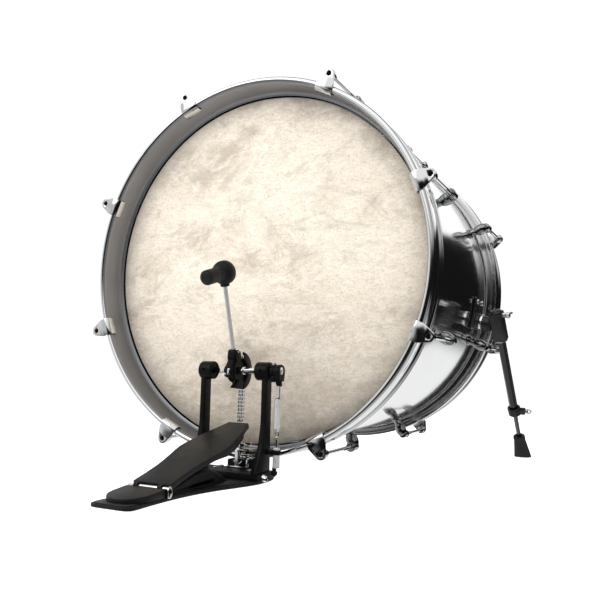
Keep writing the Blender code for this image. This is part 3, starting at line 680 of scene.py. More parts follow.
# ---------------------------------------------------------------- claws, rods, lugs
ROD_AT = 0.312
AT_ROD = place((0, 0, ROD_AT), Y)
LUG_BACK = HEAD_FACE + 0.081
CLAW_HALF = 0.0143


def claw_angle(node):
    """Angle of a claw about the drum axis, from +X towards +Z, read from its box."""
    low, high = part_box(node)
    middle = (low + high) / 2
    return math.degrees(math.atan2(middle.z - AXIS_Z, middle.x))


def on_rim(side, angle):
    """Local X along the rim, Y along the drum axis inwards, Z outwards."""
    spin = Matrix.Rotation(math.radians(90.0 - angle), 4, "Y")
    turn = Matrix.Rotation(math.pi, 4, "Z") if side == "resonant" else Matrix.Identity(4)
    y = BACK_Y if side == "resonant" else FRONT_Y
    return shift(0.0, y, AXIS_Z) @ spin @ turn


def claw_shapes():
    """Bent hook plate, its soft lining and the key-rod socket behind the ear."""
    thick = 0.0022
    # side view, (depth, radius): under the bead, round its front, then straight up to the ear
    spine = [(0.0128, 0.2849), (0.004, 0.2844)]
    for a in (14, 32, 50, 68, 84):
        spine.append((0.0047 - 0.0063 * math.sin(math.radians(a)), 0.2912
            - 0.0068 * math.cos(math.radians(a))))
    spine += [(-0.0015, 0.295), (-0.0012, 0.3), (-0.0012, 0.305), (-0.0012, 0.312), (-0.0012, 0.3208)]
    inner = []
    outer = []
    for i, point in enumerate(spine):
        here = Vector(point)
        before = Vector(spine[max(0, i - 1)])
        after = Vector(spine[min(len(spine) - 1, i + 1)])
        along = (after - before).normalized()
        away = Vector((-along.y, along.x))
        outer.append(here + away * thick / 2)
        inner.append(here - away * thick / 2)
    sheet = side_prism(inner + outer[::-1], -CLAW_HALF, CLAW_HALF)
    ear = arc((0.0, ROD_AT), 0.0082, 22.0, 158.0, 12)
    outline = [(-CLAW_HALF, 0.282), (CLAW_HALF, 0.282), (CLAW_HALF, 0.2992, 0.0015)]
    outline += [(x, y, 0.0) for x, y in ear] + [(-CLAW_HALF, 0.2992, 0.0015)]
    stamp = prism(fillet(outline, 0.0025, 4), -0.03, 0.03)
    moved(stamp, UPRIGHT)
    sheet = carved(sheet, [stamp], "INTERSECT")
    hole = moved(cylinder(0.0041, -0.02, 0.02, 28), AT_ROD)
    sheet = beveled(carved(sheet, [hole]), 0.0004, 2, 40.0)
    cup = fillet([(0.0042, 0.0002, 0), (0.0083, 0.0002, 0), (0.0083, 0.006, 0.0012),
        (0.0066, 0.0082, 0.001), (0.0066, 0.014, 0.0008), (0.0042, 0.0142, 0)], 0.0006, 3)
    cup = moved(lathe(cup, 28, closed=True), AT_ROD)
    metal = merged([sheet, cup])
    pad = side_prism([(0.013, 0.28655), (0.013, 0.28575), (0.0046, 0.2856), (0.0046, 0.2864)],
        -CLAW_HALF - 0.0006, CLAW_HALF + 0.0006, 0.0002)
    sleeve = lathe([(0.0034, -0.0004), (0.00405, -0.0004), (0.00405, 0.012), (0.0034, 0.012)], 28,
        closed=True)
    moved(sleeve, AT_ROD)
    return metal, merged([pad, sleeve])


def rod_shape():
    """Tension rod: drum-key head and collar in the claw, plain shank, threaded end."""
    square = fillet([(-0.0026, -0.0026), (0.0026, -0.0026), (0.0026, 0.0026), (-0.0026, 0.0026)], 0.0006,
        2)
    head = prism(square, 0.0066, 0.0125, 0.0004)
    thread_from = LUG_BACK - 0.05
    shank = [(0.0, 0.0122, 0), (0.0039, 0.0122), (0.0039, 0.0138), (0.003, 0.014, 0),
        (0.003, thread_from, 0), (0.0, thread_from, 0)]
    flange = lathe(fillet(shank, 0.0004, 2), 20)
    threads = [(0.0, thread_from - 0.0001)]
    pitch = 0.0008
    for i in range(38):
        y = thread_from + pitch * i
        threads += [(0.0025, y), (0.003, y + pitch * 0.45)]
    threads += [(0.0025, thread_from + 0.0306), (0.0, thread_from + 0.0306)]
    thread = lathe(threads, 16, angle=20.0)
    return moved(merged([head, flange, thread]), AT_ROD)


def lug_shape():
    """Turned post: foot flange, waist, ball with a ring groove and a capped swivel barrel."""
    base = SHELL_R + 0.0004
    profile = [(0.0, 0.0, 0), (0.0092, 0.0, 0.0004), (0.0094, 0.0018, 0.001), (0.0066, 0.004, 0.002),
        (0.0068, 0.011, 0.003), (0.0092, 0.015, 0.004), (0.0101, 0.0205, 0.007),
        (0.0098, 0.0262, 0.005), (0.0076, 0.0322, 0.005), (0.004, 0.0345, 0.003), (0.0, 0.0345, 0)]
    body = turned(profile, 0.001, 5, 40)
    moved(body, shift(0.0, LUG_BACK, base))
    mouth = turned([(0.0, -0.01, 0), (0.0034, -0.01, 0), (0.0034, -0.0214, 0.0004),
        (0.0056, -0.0217, 0.0006), (0.0068, -0.0206, 0.001), (0.0068, 0.003, 0.0016), (0.0, 0.0048, 0)],
        0.001, 4, 32)
    barrel = moved(mouth, place((0.0, LUG_BACK, ROD_AT), Y))
    collar = collar_ring(0.004, 0.0075, -0.018, -0.015, 0.0006, 3, 32)
    band = moved(collar, place((0.0, LUG_BACK, ROD_AT), Y))
    return merged([body, barrel, band])


def make_tension_gear():
    claw, pad = claw_shapes()
    rod = rod_shape()
    lug = lug_shape()
    for side in ("batter", "resonant"):
        for number in range(1, 9):
            matrix = on_rim(side, claw_angle(f"{side}_claw_{number}"))
            tag = f"{side}_{number}"
            piece(f"claw_{tag}", copied(claw, matrix), "claw_steel", "drum", f"{side}_claw_{number}")
            piece(f"claw_lining_{tag}", copied(pad, matrix), "lining", "drum")
            piece(f"rod_{tag}", copied(rod, matrix), "chrome", "drum")
            piece(f"lug_{tag}", copied(lug, matrix), "lug_chrome", "drum", f"{side}_lug_{number}")


# ---------------------------------------------------------------- spurs
def make_bracket(tag, side, centre, out):
    """Curved shell plate with two screws, and the round hinge boss with a bright ring."""
    foot_r = SHELL_R + 0.0005
    reach = (centre - Vector((0.0, centre.y, AXIS_Z))).length
    level = math.degrees(math.atan2(out.z, abs(out.x)))
    low = level - 3.2
    high = level + 8.6
    outline = arc((0, 0), foot_r + 0.0042, low, high, 14) + arc((0, 0), foot_r, high, low, 14)
    plate = prism(outline, -0.024, 0.025, 0.001, 2)
    moved(plate, UPRIGHT)
    screws = []
    for y in (-0.017, 0.018):
        angle = math.radians(high - 1.6)
        way = Vector((math.cos(angle), 0.0, math.sin(angle)))
        head = turned([(0.0, 0.0, 0), (0.0046, 0.0, 0), (0.0046, 0.0016), (0.003, 0.003),
            (0.0016, 0.0031, 0), (0.0016, 0.0018, 0), (0.0, 0.0018, 0)], 0.0008, 3, 24)
        screws.append(moved(head, place(way * (foot_r + 0.004) + Y * y, way)))
    bolts = merged(screws)
    to_side = shift(0.0, centre.y, AXIS_Z) @ Matrix.Diagonal((side, 1.0, 1.0, 1.0))
    moved(plate, to_side)
    moved(bolts, to_side)
    up = place(centre, out, Y)
    top = -0.0126
    floor = foot_r + 0.002 - reach
    boss = turned([(0.0, floor, 0), (0.0152, floor, 0), (0.0152, floor + 0.008, 0.0012),
        (0.0128, floor + 0.0094), (0.0128, top - 0.003, 0), (0.0135, top - 0.002),
        (0.0135, top - 0.0003), (0.0, top, 0)], 0.0006, 3, 48)
    boss = moved(boss, up)
    teeth = []
    for i in range(24):
        a = math.tau * i / 24
        tooth = block((-0.0011, 0.0124, top - 0.0062), (0.0011, 0.0139, top - 0.0028), 0.0004, 2)
        teeth.append(moved(tooth, up @ Matrix.Rotation(a, 4, "Z")))
    body = merged([plate, boss] + teeth)
    piece(f"spur_plate_{tag}", body, "black_chrome", "drum", f"spur_bracket_{tag}")
    piece(f"spur_screws_{tag}", bolts, "chrome", "drum")
    ring = collar_ring(0.013, 0.0146, floor + 0.0098, floor + 0.0142, 0.0007, 3, 48)
    ring = moved(ring, up)
    piece(f"spur_ring_{tag}", ring, "chrome", "drum")


def wing_bolt(shaft_from, shaft_to):
    """Wing screw along local Z: stepped boss, and two flared wings in the XZ plane."""
    shaft = turned([(0.0, shaft_from, 0), (0.0044, shaft_from, 0), (0.0044, shaft_to - 0.0075),
        (0.005, shaft_to - 0.007), (0.005, shaft_to - 0.0012), (0.0036, shaft_to), (0.0, shaft_to, 0)],
        0.0006, 3, 28)
    half = [(0.004, shaft_to - 0.007), (0.0082, shaft_to - 0.0055), (0.0108, shaft_to - 0.001),
            (0.0104, shaft_to + 0.0022), (0.0076, shaft_to + 0.0018), (0.0044, shaft_to - 0.0018)]
    outline = mirrored(fillet(half, 0.0016, 3))
    wing = prism(outline, -0.0016, 0.0016, 0.0007, 2)
    moved(wing, UPRIGHT)
    return merged([shaft, wing])


def make_leg(tag, centre, out, leg):
    """Cast socket block, plated tube, memory lock with its bolt, and the wing screw."""
    frame_up = place(centre, -leg, out)
    body = f"spur_leg_{tag}"
    low, high = -0.0288, 0.0318
    outline = fillet([(-0.0116, -0.012), (0.01, -0.0123), (0.0116, -0.006), (0.0116, 0.006),
        (0.01, 0.0123), (-0.0116, 0.012)], 0.004, 4)
    cast = prism(outline, low + 0.0016, high - 0.0042, 0.0014, 3)
    cap = turned([(0.0, high - 0.0046, 0), (0.0108, high - 0.0046, 0), (0.0104, high - 0.0014, 0.002),
        (0.006, high, 0.003), (0.0, high, 0)], 0.001, 4, 40)
    skirt = collar_ring(0.0076, 0.0112, low, low + 0.0024, 0.0007, 3, 40)
    groove = block((-0.0119, -0.002, low + 0.006), (-0.0108, 0.002, high - 0.009), 0.0004, 2)
    socket = moved(merged([cast, cap, groove]), frame_up)
    piece(f"spur_socket_{tag}", socket, "black_chrome", body, f"spur_leg_{tag}")
    piece(f"spur_skirt_{tag}", moved(skirt, frame_up), "chrome", body, slot="black_chrome")
    tube_end = -0.188
    pipe = fillet([(0.0045, -0.03, 0), (0.0074, -0.03, 0), (0.0074, tube_end + 0.001),
        (0.0066, tube_end), (0.0047, tube_end, 0), (0.0045, tube_end + 0.001, 0)], 0.0005, 2)
    pipe = moved(lathe(pipe, 40, closed=True), frame_up)
    piece(f"spur_tube_{tag}", pipe, "tube_chrome", body)
    lock_z = tube_end + 0.0165
    lock = collar_ring(0.0076, 0.0117, lock_z, lock_z - 0.0155, 0.0014, 3, 44)
    lock = lock
    ear = block((0.01, -0.005, lock_z - 0.0135), (0.0205, 0.005, lock_z - 0.003), 0.0012)
    slit = block((0.007, -0.0009, lock_z - 0.02), (0.026, 0.0009, lock_z + 0.004), 0.0002, 1)
    lock = carved(lock, [ear], "UNION")
    lock = moved(carved(lock, [slit]), frame_up)
    piece(f"spur_lock_{tag}", lock, "black_chrome", body)
    eye_at = frame_up @ shift(0.0, 0.0, lock_z - 0.0082) @ SIDEWAYS
    eye = moved(turned([(0.0, 0.015, 0), (0.003, 0.015, 0), (0.003, 0.0222), (0.0044, 0.0224),
        (0.0044, 0.0246), (0.0, 0.025, 0)], 0.0004, 2, 20), eye_at)
    loop = [(0.0042 * math.cos(math.tau * i / 24), 0.0, 0.0266 + 0.004 * math.sin(math.tau * i / 24))
        for i in range(24)]
    loop = moved(tube(loop, 0.0014, 10, closed=True), eye_at)
    piece(f"spur_eye_{tag}", merged([eye, loop]), "chrome", body, slot="black_chrome")
    wing = moved(wing_bolt(0.0112, 0.024), frame_up @ shift(0.0, 0.0,
        0.0225) @ SIDEWAYS @ Matrix.Rotation(math.radians(90), 4, "Z"))
    piece(f"spur_wing_{tag}", wing, "chrome", body, slot="black_chrome")


def make_tip(tag, centre, out, leg):
    """Inner rod and the ribbed rubber foot, cut level where it meets the floor."""
    frame_up = place(centre, -leg, out)
    body = f"spur_tip_{tag}"
    foot_top = -(centre.z / -leg.z - 0.049)
    rod = turned([(0.0, -0.09, 0), (0.0041, -0.09), (0.0041, foot_top - 0.01),
        (0.0, foot_top - 0.01, 0)], 0.0005, 2, 28)
    inner = moved(rod, frame_up)
    piece(f"spur_inner_{tag}", inner, "dark_rod", body, f"spur_rod_{tag}")
    profile = [(0.0043, -0.001, 0), (0.008, 0.0, 0.001), (0.011, -0.0014, 0.001),
        (0.0112, -0.006, 0.0006)]
    ribs = 6
    for i in range(ribs):
        top = -0.0078 - 0.0068 * i
        size = 0.0104 + 0.0054 * (i + 0.5) / ribs
        profile += [(size - 0.0012, top, 0.0006), (size, top - 0.0014, 0.0007),
            (size + 0.0002, top - 0.0044, 0.0007), (size - 0.001, top - 0.0056, 0.0006)]
    profile += [(0.0158, -0.0486, 0.001), (0.0158, -0.07, 0), (0.0, -0.07, 0), (0.0, -0.012, 0),
        (0.0043, -0.012, 0)]
    foot = lathe(fillet(profile, 0.0005, 3), 40, closed=True)
    foot = moved(foot, place(centre + leg * -foot_top, -leg, out))
    foot = trimmed(foot, (0.0, 0.0, 0.0), (0.0, 0.0, -1.0))
    piece(f"spur_rubber_{tag}", foot, "rubber", body, f"spur_foot_{tag}")


def make_spurs():
    for tag, side in (("right", 1.0), ("left", -1.0)):
        centre = Vector(JOINTS[f"spur_fold_{tag}"]["pos_m"])
        out = (centre - Vector((0.0, centre.y, AXIS_Z))).normalized()
        leg = Vector(JOINTS[f"spur_length_{tag}"]["axis"]).normalized()
        make_bracket(tag, side, centre, out)
        make_leg(tag, centre, out, leg)
        make_tip(tag, centre, out, leg)


# ---------------------------------------------------------------- pedal
AXLE_Y = -0.037            # axle in the pedal's own measure
AXLE_Z = AXLE.z
PEDAL_Y = AXLE.y - AXLE_Y
TO_PEDAL = shift(PEDAL_X, PEDAL_Y, 0.0)
TO_AXLE = Matrix.Translation(AXLE)
HINGE_Y = HINGE.y - PEDAL_Y
HINGE_Z = HINGE.z
AT_BEARING = place((0.0, AXLE_Y, AXLE_Z), X, Y)
AT_HINGE = place((0.0, HINGE_Y, HINGE_Z), X, Y)
LEAN = math.radians(17.0)   # the beater leans back by this at rest
SPRING_X = 0.0713
POST_X = 0.0525
PIN_R = 0.0023              # hinge pin
BOARD_LENGTH = 0.213
PIN_DROP = 0.0165           # the rocker's spring pin hangs this far below the axle
CLAMP_Y = -0.015           # clamp bolt
CHAIN_PITCH = 0.005
SPROCKET_R = 0.0188         # circle of the chain's joints round the axle


def ridge(line, half, corner=0.0055, steps=5):
    """Long hump along Y: height from a smooth line, rounded shoulders, width `half` each side."""
    work = bmesh.new()
    low = line[0][1]
    rows = []
    for y, top in line:
        size = min(corner, max(0.0004, (top - low) * 0.8))
        section = [(half, low - 0.001)]
        section += arc((half - size, top - size), size, 0.0, 90.0, steps)
        section += [(x, z) for x, z in arc((-(half - size), top - size), size, 90.0, 180.0, steps)]
        section += [(-half, low - 0.001)]
        rows.append([work.verts.new((x, y, z)) for x, z in section])
    for first, second in zip(rows, rows[1:]):
        for i in range(len(first)):
            j = (i + 1) % len(first)
            work.faces.new((first[i], first[j], second[j], second[i]))
    work.faces.new(rows[0])
    work.faces.new(rows[-1][::-1])
    return finished(work, 38.0)


def make_base():
    """Floor plate that widens towards the posts, an arched spine with a slot, and the rear block."""
    half = [(0.0, -0.299), (0.02, -0.2988), (0.0285, -0.295), (0.0308, -0.286), (0.0292, -0.257),
            (0.0288, -0.214), (0.0325, -0.173), (0.0405, -0.135), (0.0515, -0.101), (0.06, -0.068),
            (0.0605, -0.04), (0.056, -0.015), (0.046, 0.0018)]
    right = smooth_line(half, 5)
    outline = mirrored(right)[:-1]      # the middle point counts once
    plate = prism(outline, 0.0, 0.0042, 0.0011, 3)
    lip = prism([Vector((p.x * 0.9, p.y * 0.985 - 0.0028)) for p in outline if p.y < -0.07], 0.0038,
        0.0054, 0.0006, 2)
    line = smooth_line([(-0.219, 0.004), (-0.21, 0.011), (-0.185, 0.0168), (-0.162, 0.023),
        (-0.143, 0.025), (-0.122, 0.0238), (-0.102, 0.0165), (-0.09, 0.009), (-0.08, 0.004)], 6)
    spine = ridge(line, 0.0228)
    slot = side_prism(fillet([(-0.212, 0.007), (-0.121, 0.0074), (-0.118, 0.0118), (-0.13, 0.0128),
        (-0.212, 0.0086)], 0.0018, 4), -0.05, 0.05)
    spine = carved(spine, [slot])
    rear = block((-0.0588, -0.0638, 0.0034), (0.0588, -0.0142, 0.0128), 0.0016)
    bosses = []
    for x in (-POST_X, POST_X):
        bosses.append(block((x - 0.0066, -0.059, 0.012), (x + 0.0066, -0.018, 0.0134), 0.0006, 2))
    ledge = block((-0.0236, -0.0158, 0.0034), (0.0236, 0.0118, 0.0238), 0.0012)
    body = moved(merged([plate, lip, spine, rear, ledge] + bosses), TO_PEDAL)
    piece("pedal_base_plate", body, "enamel", "drum", "pedal_base")
    screws = []
    for x, y in ((-0.03, -0.039), (0.03, -0.039), (-0.03, -0.022), (0.03, -0.022)):
        head = turned([(0.0, 0.0, 0), (0.0036, 0.0, 0), (0.0036, 0.0022), (0.0018, 0.0024, 0),
            (0.0014, 0.001, 0), (0.0, 0.001, 0)], 0.0006, 3, 24)
        screws.append(moved(head, TO_PEDAL @ shift(x, y, 0.0127)))
    piece("base_screws", merged(screws), "chrome", "drum")
    make_spike()


def make_spike():
    """Knurled anchor screw at the base's right corner, with its black ball knob."""
    at = TO_PEDAL @ place((0.057, -0.05, 0.0076), (0.8, -0.58, -0.1))
    thread = [(0.0, -0.004)]
    for i in range(9):
        thread += [(0.0034, -0.0036 + 0.0015 * i), (0.0044, -0.0029 + 0.0015 * i)]
    thread += [(0.0034, 0.0102), (0.002, 0.0128), (0.0, 0.013)]
    piece("anchor_screw", moved(lathe(thread, 24, angle=20.0), at), "chrome", "drum")
    ball = [(0.0046 * math.sin(math.radians(a)), -0.0046 * math.cos(math.radians(a))) for a in range(0,
        181, 12)]
    knob = lathe(ball, 32)
    neck = lathe([(0.0, 0.003), (0.0028, 0.003), (0.0034, 0.0072), (0.0, 0.0072)], 24)
    knob = moved(merged([knob, neck]), TO_PEDAL @ shift(0.0685, AXLE_Y, 0.013))
    piece("spring_knob", knob, "post_enamel", "drum")


def make_heel():
    """Rounded heel plate that slopes up to two hinge knuckles, and the hinge pin with its end loop."""
    tilt = math.atan2(0.0057, 0.054)
    nose = arc((0.0, -0.258), 0.0292, 180.0, 360.0, 28)
    outline = [(x, -0.258 + (y + 0.258) * 1.02) for x, y in nose] + [(0.0292, -0.2338),
        (-0.0292, -0.2338)]
    plate = prism(outline, 0.0046, 0.018)
    plate = trimmed(plate, (0.0, -0.288, 0.0098), (0.0, -math.sin(tilt), math.cos(tilt)))
    plate = beveled(plate, 0.0011, 3, 40.0)
    pieces = [plate]
    for x in (-0.0196, 0.0196):
        knuckle = collar_ring(PIN_R + 0.0003, 0.0048, -0.0013, 0.0013, 0.0004, 2, 32)
        pieces.append(moved(knuckle, place((x, HINGE_Y, HINGE_Z), X, Y)))
        web = [(-0.24, 0.0062), (HINGE_Y - 0.0036, 0.0086), (HINGE_Y - 0.004, 0.016), (-0.24, 0.0142)]
        pieces.append(side_prism(web, x - 0.0012, x + 0.0012, 0.0004))
    body = moved(merged(pieces), TO_PEDAL)
    piece("heel_plate_cast", body, "enamel", "drum", "heel_plate")
    rod = pin_shape(PIN_R, -0.031, 0.03, 0.0006, 3, 28)
    moved(rod, AT_HINGE)
    loop = [(0.0316, HINGE_Y + 0.0036 * math.cos(math.tau * i / 28),
        HINGE_Z - 0.0036 + 0.0062 * math.sin(math.tau * i / 28)) for i in range(28)]
    loop = tube(loop, 0.0011, 10, closed=True)
    pin = moved(merged([rod, loop]), TO_PEDAL)
    piece("hinge_rod", pin, "chrome", "drum", "hinge_pin")


def make_footboard():
    """Long waisted footboard: crowned edges, knuckle on the pin and the chain's hook below its tip."""
    half = [(0.029, 0.0056), (0.0283, 0.03), (0.0289, 0.056), (0.0329, 0.085), (0.0368, 0.108),
        (0.0374, 0.123), (0.0341, 0.145), (0.0286, 0.17), (0.0228, 0.192), (0.0174, BOARD_LENGTH)]
    right = smooth_line(half, 7)
    outline = mirrored(right)
    board = prism(outline, -0.0044, 0.0032, 0.0013, 3)
    under = prism([Vector((p.x * 0.8, 0.01 + (p.y - 0.006) * 0.93)) for p in outline], -0.0062, -0.0036,
        0.0012, 2)
    knuckles = []
    rib = fillet([(0.085, -0.004), (0.19, -0.004), (0.186, -0.01), (0.165, -0.017),
        (0.14, -0.018), (0.11, -0.012)], 0.004, 4)
    for x in (-0.0212, 0.0212):
        knuckles.append(side_prism(rib, x - 0.0015, x + 0.0015, 0.0006))
    for x in (-0.0166, 0.0166):
        ring = collar_ring(PIN_R + 0.0003, 0.0046, x - 0.0013, x + 0.0013, 0.0004, 2, 32)
        knuckles.append(moved(ring, ALONG_X))
        knuckles.append(block((x - 0.0012, 0.0036, -0.0036), (x + 0.0012, 0.009, 0.0026), 0.0004, 2))
    hook = side_prism(fillet([(0.1985, -0.005), (0.2205, -0.003), (0.2243, -0.003), (0.2243, -0.0098),
        (0.212, -0.0098), (0.1985, -0.0075)], 0.0014, 3), -0.0046, 0.0046, 0.0008)
    pitch = Matrix.Rotation(math.atan2(0.062, 0.204), 4, "X")
    at = Matrix.Translation(HINGE) @ pitch
    body = moved(merged([board, under, hook] + knuckles), at)
    piece("footboard_cast", body, "enamel", "footboard", "footboard")


def make_post(tag, side):
    """Post with a flared foot, the bearing housing with its set screw, and the spring arm on the right."""
    line = [(AXLE_Y - 0.0345, 0.0134, 0), (AXLE_Y + 0.0088, 0.0134, 0), (AXLE_Y + 0.0083, AXLE_Z, 0),
        (AXLE_Y - 0.0083, AXLE_Z, 0), (AXLE_Y - 0.0088, 0.08, 0.03), (AXLE_Y - 0.014, 0.052, 0.06),
        (AXLE_Y - 0.0256, 0.027, 0.03)]
    stem = side_prism(fillet(line, 0.02, 6), POST_X - 0.0041, POST_X + 0.0041, 0.0013, 3)
    low, high = 0.0376, 0.0599
    shell = fillet([(0.0049, low), (0.007, low, 0), (0.0072, low + 0.0012, 0), (0.01, low + 0.0012, 0),
        (0.0102, low, 0), (0.0134, low, 0.003), (0.0134, high, 0.004), (0.0, high, 0),
        (0.0, high - 0.0012, 0), (0.0049, high - 0.0012, 0)], 0.0004, 4)
    house = moved(lathe(shell, 56, closed=True), AT_BEARING)
    if side > 0:
        house = carved(house, [moved(cylinder(0.0049, 0.05, 0.07, 24), AT_BEARING)])
    hole = cylinder(0.0021, 0.0, 0.02, 20)
    aim = Vector((0.0, -1.0, 0.1))
    house = carved(house, [moved(hole, place((0.0485, AXLE_Y, AXLE_Z), aim))])
    screw = turned([(0.0, 0.009, 0), (0.0019, 0.009, 0), (0.0019, 0.0116), (0.001, 0.0118, 0),
        (0.001, 0.0104, 0), (0.0, 0.0104, 0)], 0.0003, 2, 16)
    screw = moved(screw, place((0.0485, AXLE_Y, AXLE_Z), aim))
    parts = [stem, house, screw]
    if side > 0:
        arm = block((POST_X, AXLE_Y - 0.0058, 0.0386), (SPRING_X - 0.005, AXLE_Y + 0.0058, 0.0448),
            0.0014)
        eye = collar_ring(0.0017, 0.0062, 0.0386, 0.0448, 0.0012, 3, 36)
        parts += [arm, moved(eye, shift(SPRING_X, AXLE_Y, 0.0))]
    mirror = Matrix.Diagonal((side, 1.0, 1.0, 1.0))
    body = moved(merged(parts), TO_PEDAL @ mirror)
    piece(f"post_{tag}_cast", body, "post_enamel", "drum", f"post_{tag}")


def make_axle():
    """Hexagonal axle, the rocker on its right end, and the rocker's bright screws."""
    bar = prism(hexagon(0.0044, 30.0), -0.0574, 0.0726, 0.0003, 1)
    piece("axle_bar", moved(bar, TO_AXLE @ ALONG_X), "chrome", "axle", "axle")
    hub = lathe(fillet([(0.0045, 0.0609), (0.0092, 0.0609, 0.0012), (0.0094, 0.066), (0.0088, 0.0664, 0),
        (0.0088, 0.0672, 0), (0.0094, 0.0676), (0.0094, 0.0704, 0), (0.0045, 0.0704, 0)], 0.0006, 3), 44,
        closed=True)
    moved(hub, ALONG_X)
    outline = arc((0.0, 0.0), 0.0101, 0.0, 180.0, 20)
    outline = outline + [(-0.009, -0.008), (-0.0058, -0.019), (0.0, -0.0216), (0.0058, -0.019),
        (0.009, -0.008)]
    face = side_prism(fillet([(y, z, 0.004 if z < -0.001 else 0) for y, z in outline], 0.004, 4), 0.0705,
        0.0772, 0.0011, 3)
    recess = cylinder(0.006, 0.0758, 0.09, 32)
    face = carved(face, [moved(recess, place((0, 0, 0.001), X, Y))])
    clamp = block((0.062, -0.008, -0.015), (0.0702, 0.001, -0.006), 0.0016)
    rocker = moved(merged([hub, face, clamp]), TO_AXLE)
    piece("rocker", rocker, "post_enamel", "axle")
    cap = turned([(0.0, 0.075, 0), (0.0056, 0.075, 0), (0.0056, 0.0768), (0.0018, 0.0778, 0),
        (0.0012, 0.0768, 0), (0.0, 0.0768, 0)], 0.0006, 3, 36)
    cap = moved(cap, place((0, 0, 0.001), X, Y))
    pin = turned([(0.0, 0.069, 0), (0.0021, 0.069), (0.0021, 0.0775, 0), (0.003, 0.0777),
        (0.003, 0.0794), (0.0, 0.0796, 0)], 0.0004, 3, 24)
    pin = moved(pin, place((0, 0, -PIN_DROP), X, Y))
    nut = prism(hexagon(0.0038), 0.0092, 0.0118, 0.0004, 2)
    stud = turned([(0.0, 0.006, 0), (0.0021, 0.006, 0), (0.0021, 0.0118, 0), (0.0028, 0.0121),
        (0.0028, 0.0134), (0.0, 0.0138, 0)], 0.0005, 3, 20)
    top = shift(0.066, 0.0, 0.0) @ Matrix.Rotation(math.radians(14), 4, "X")
    screws = merged([cap, pin, moved(nut, top), moved(stud, top)])
    piece("rocker_screws", moved(screws, TO_AXLE), "chrome", "axle")


def make_cam():
    """Sprocket drum, crescent side plate with its fang, leaning shaft clamp and their screws."""
    drum = lathe(fillet([(0.005, -0.0058), (0.0172, -0.0058), (0.0174, -0.0046), (0.016, -0.004),
        (0.016, 0.0068), (0.0174, 0.0074), (0.0174, 0.0079, 0), (0.005, 0.0079, 0)], 0.0006, 3), 56,
        closed=True)
    moved(drum, ALONG_X)
    teeth = []
    for i in range(14):
        tooth = side_prism(fillet([(-0.0016, 0.015), (0.0016, 0.015), (0.0007, 0.0196),
            (-0.0007, 0.0196)], 0.0005, 2), -0.0034, -0.0014, 0.0003)
        teeth.append(moved(tooth, Matrix.Rotation(math.tau * (i + 0.5) / 14, 4, "X")))
        teeth.append(copied(teeth[-1], shift(0.0048, 0.0, 0.0)))
    rim = arc((0, 0), 0.0278, -82.0, 84.0, 36)
    hollow = arc((-0.006, -0.0015), 0.0205, 62.0, -62.0, 20)
    plate = side_prism(rim + hollow, 0.008, 0.0111, 0.0006, 2)
    fang = side_prism(fillet([(0.006, -0.0272), (0.009, -0.019), (-0.007, -0.012),
        (-0.01, -0.016), (-0.0228, -0.0246, 0.0006), (-0.006, -0.0262)], 0.003, 5), 0.004, 0.0106,
        0.0006)
    spoke = side_prism(fillet([(-0.009, -0.006), (0.02, -0.006), (0.02, 0.006),
        (-0.009, 0.006)], 0.002, 3), 0.0076, 0.0106, 0.0005)
    outline = fillet([(-0.0098, 0.004), (0.0098, 0.004), (0.01, 0.0225, 0.003),
        (0.0052, 0.033, 0.004), (-0.0052, 0.033, 0.004), (-0.01, 0.0225, 0.003)], 0.003, 5)
    clamp = side_prism(outline, -0.0067, 0.0067, 0.0022, 3)
    throat = cylinder(0.0034, 0.009, 0.05, 28)
    clamp = carved(clamp, [throat])
    cheek = block((0.0058, -0.0074, 0.01), (0.008, 0.0074, 0.028), 0.001, 3)
    lean = Matrix.Rotation(LEAN, 4, "X")
    nose = turned([(0.0, -0.0066, 0), (0.0094, -0.0066, 0.0018), (0.0094, 0.0066, 0.0018),
        (0.0, 0.0066, 0)], 0.002, 4, 40)
    moved(nose, place((0.0, -0.015, -0.001), X, Y))
    jaw = side_prism(fillet([(-0.024, -0.003), (-0.004, -0.01), (-0.004, 0.015), (-0.014, 0.018),
        (-0.0225, 0.006)], 0.003, 4), -0.005, 0.005, 0.0012)
    body = merged([drum, plate, fang, spoke, nose, jaw] + teeth + [moved(clamp, lean),
        moved(cheek, lean)])
    piece("cam_cast", moved(body, TO_AXLE), "post_enamel", "axle", "cam_hub")

    hexbolt = prism(hexagon(0.0033), 0.0, 0.003, 0.0004, 2)
    moved(hexbolt, place((-0.0035, -0.0236, -0.0055), (-0.25, -1.0, -0.2)))
    key = block((0.0006, -0.0254, -0.006), (0.0046, -0.0236, 0.003), 0.0006, 2)
    nut = prism(hexagon(0.0066), 0.0112, 0.0142, 0.0006, 2)
    moved(nut, ALONG_X)
    washer = collar_ring(0.0046, 0.0062, 0.0, 0.0012, 0.0003, 2, 32)
    moved(washer, place((-0.0112, 0, 0), X, Y))
    lock = turned([(0.0, 0.0, 0), (0.0018, 0.0, 0), (0.0018, 0.003), (0.003, 0.0032), (0.003, 0.0058),
        (0.0, 0.006, 0)], 0.0004, 3, 20)
    lock = moved(lock, lean @ place((0.0072, 0.0, 0.0272)))
    side_screw = turned([(0.0, 0.0, 0), (0.003, 0.0, 0), (0.003, 0.0022), (0.0014, 0.0025, 0),
        (0.0011, 0.0012, 0), (0.0, 0.0012, 0)], 0.0006, 3, 24)
    side_screw = moved(side_screw, place((0.0079, 0.0045, 0.0205), X, Y))
    screws = merged([hexbolt, key, nut, washer, lock, side_screw])
    piece("cam_screws", moved(screws, TO_AXLE), "chrome", "axle")


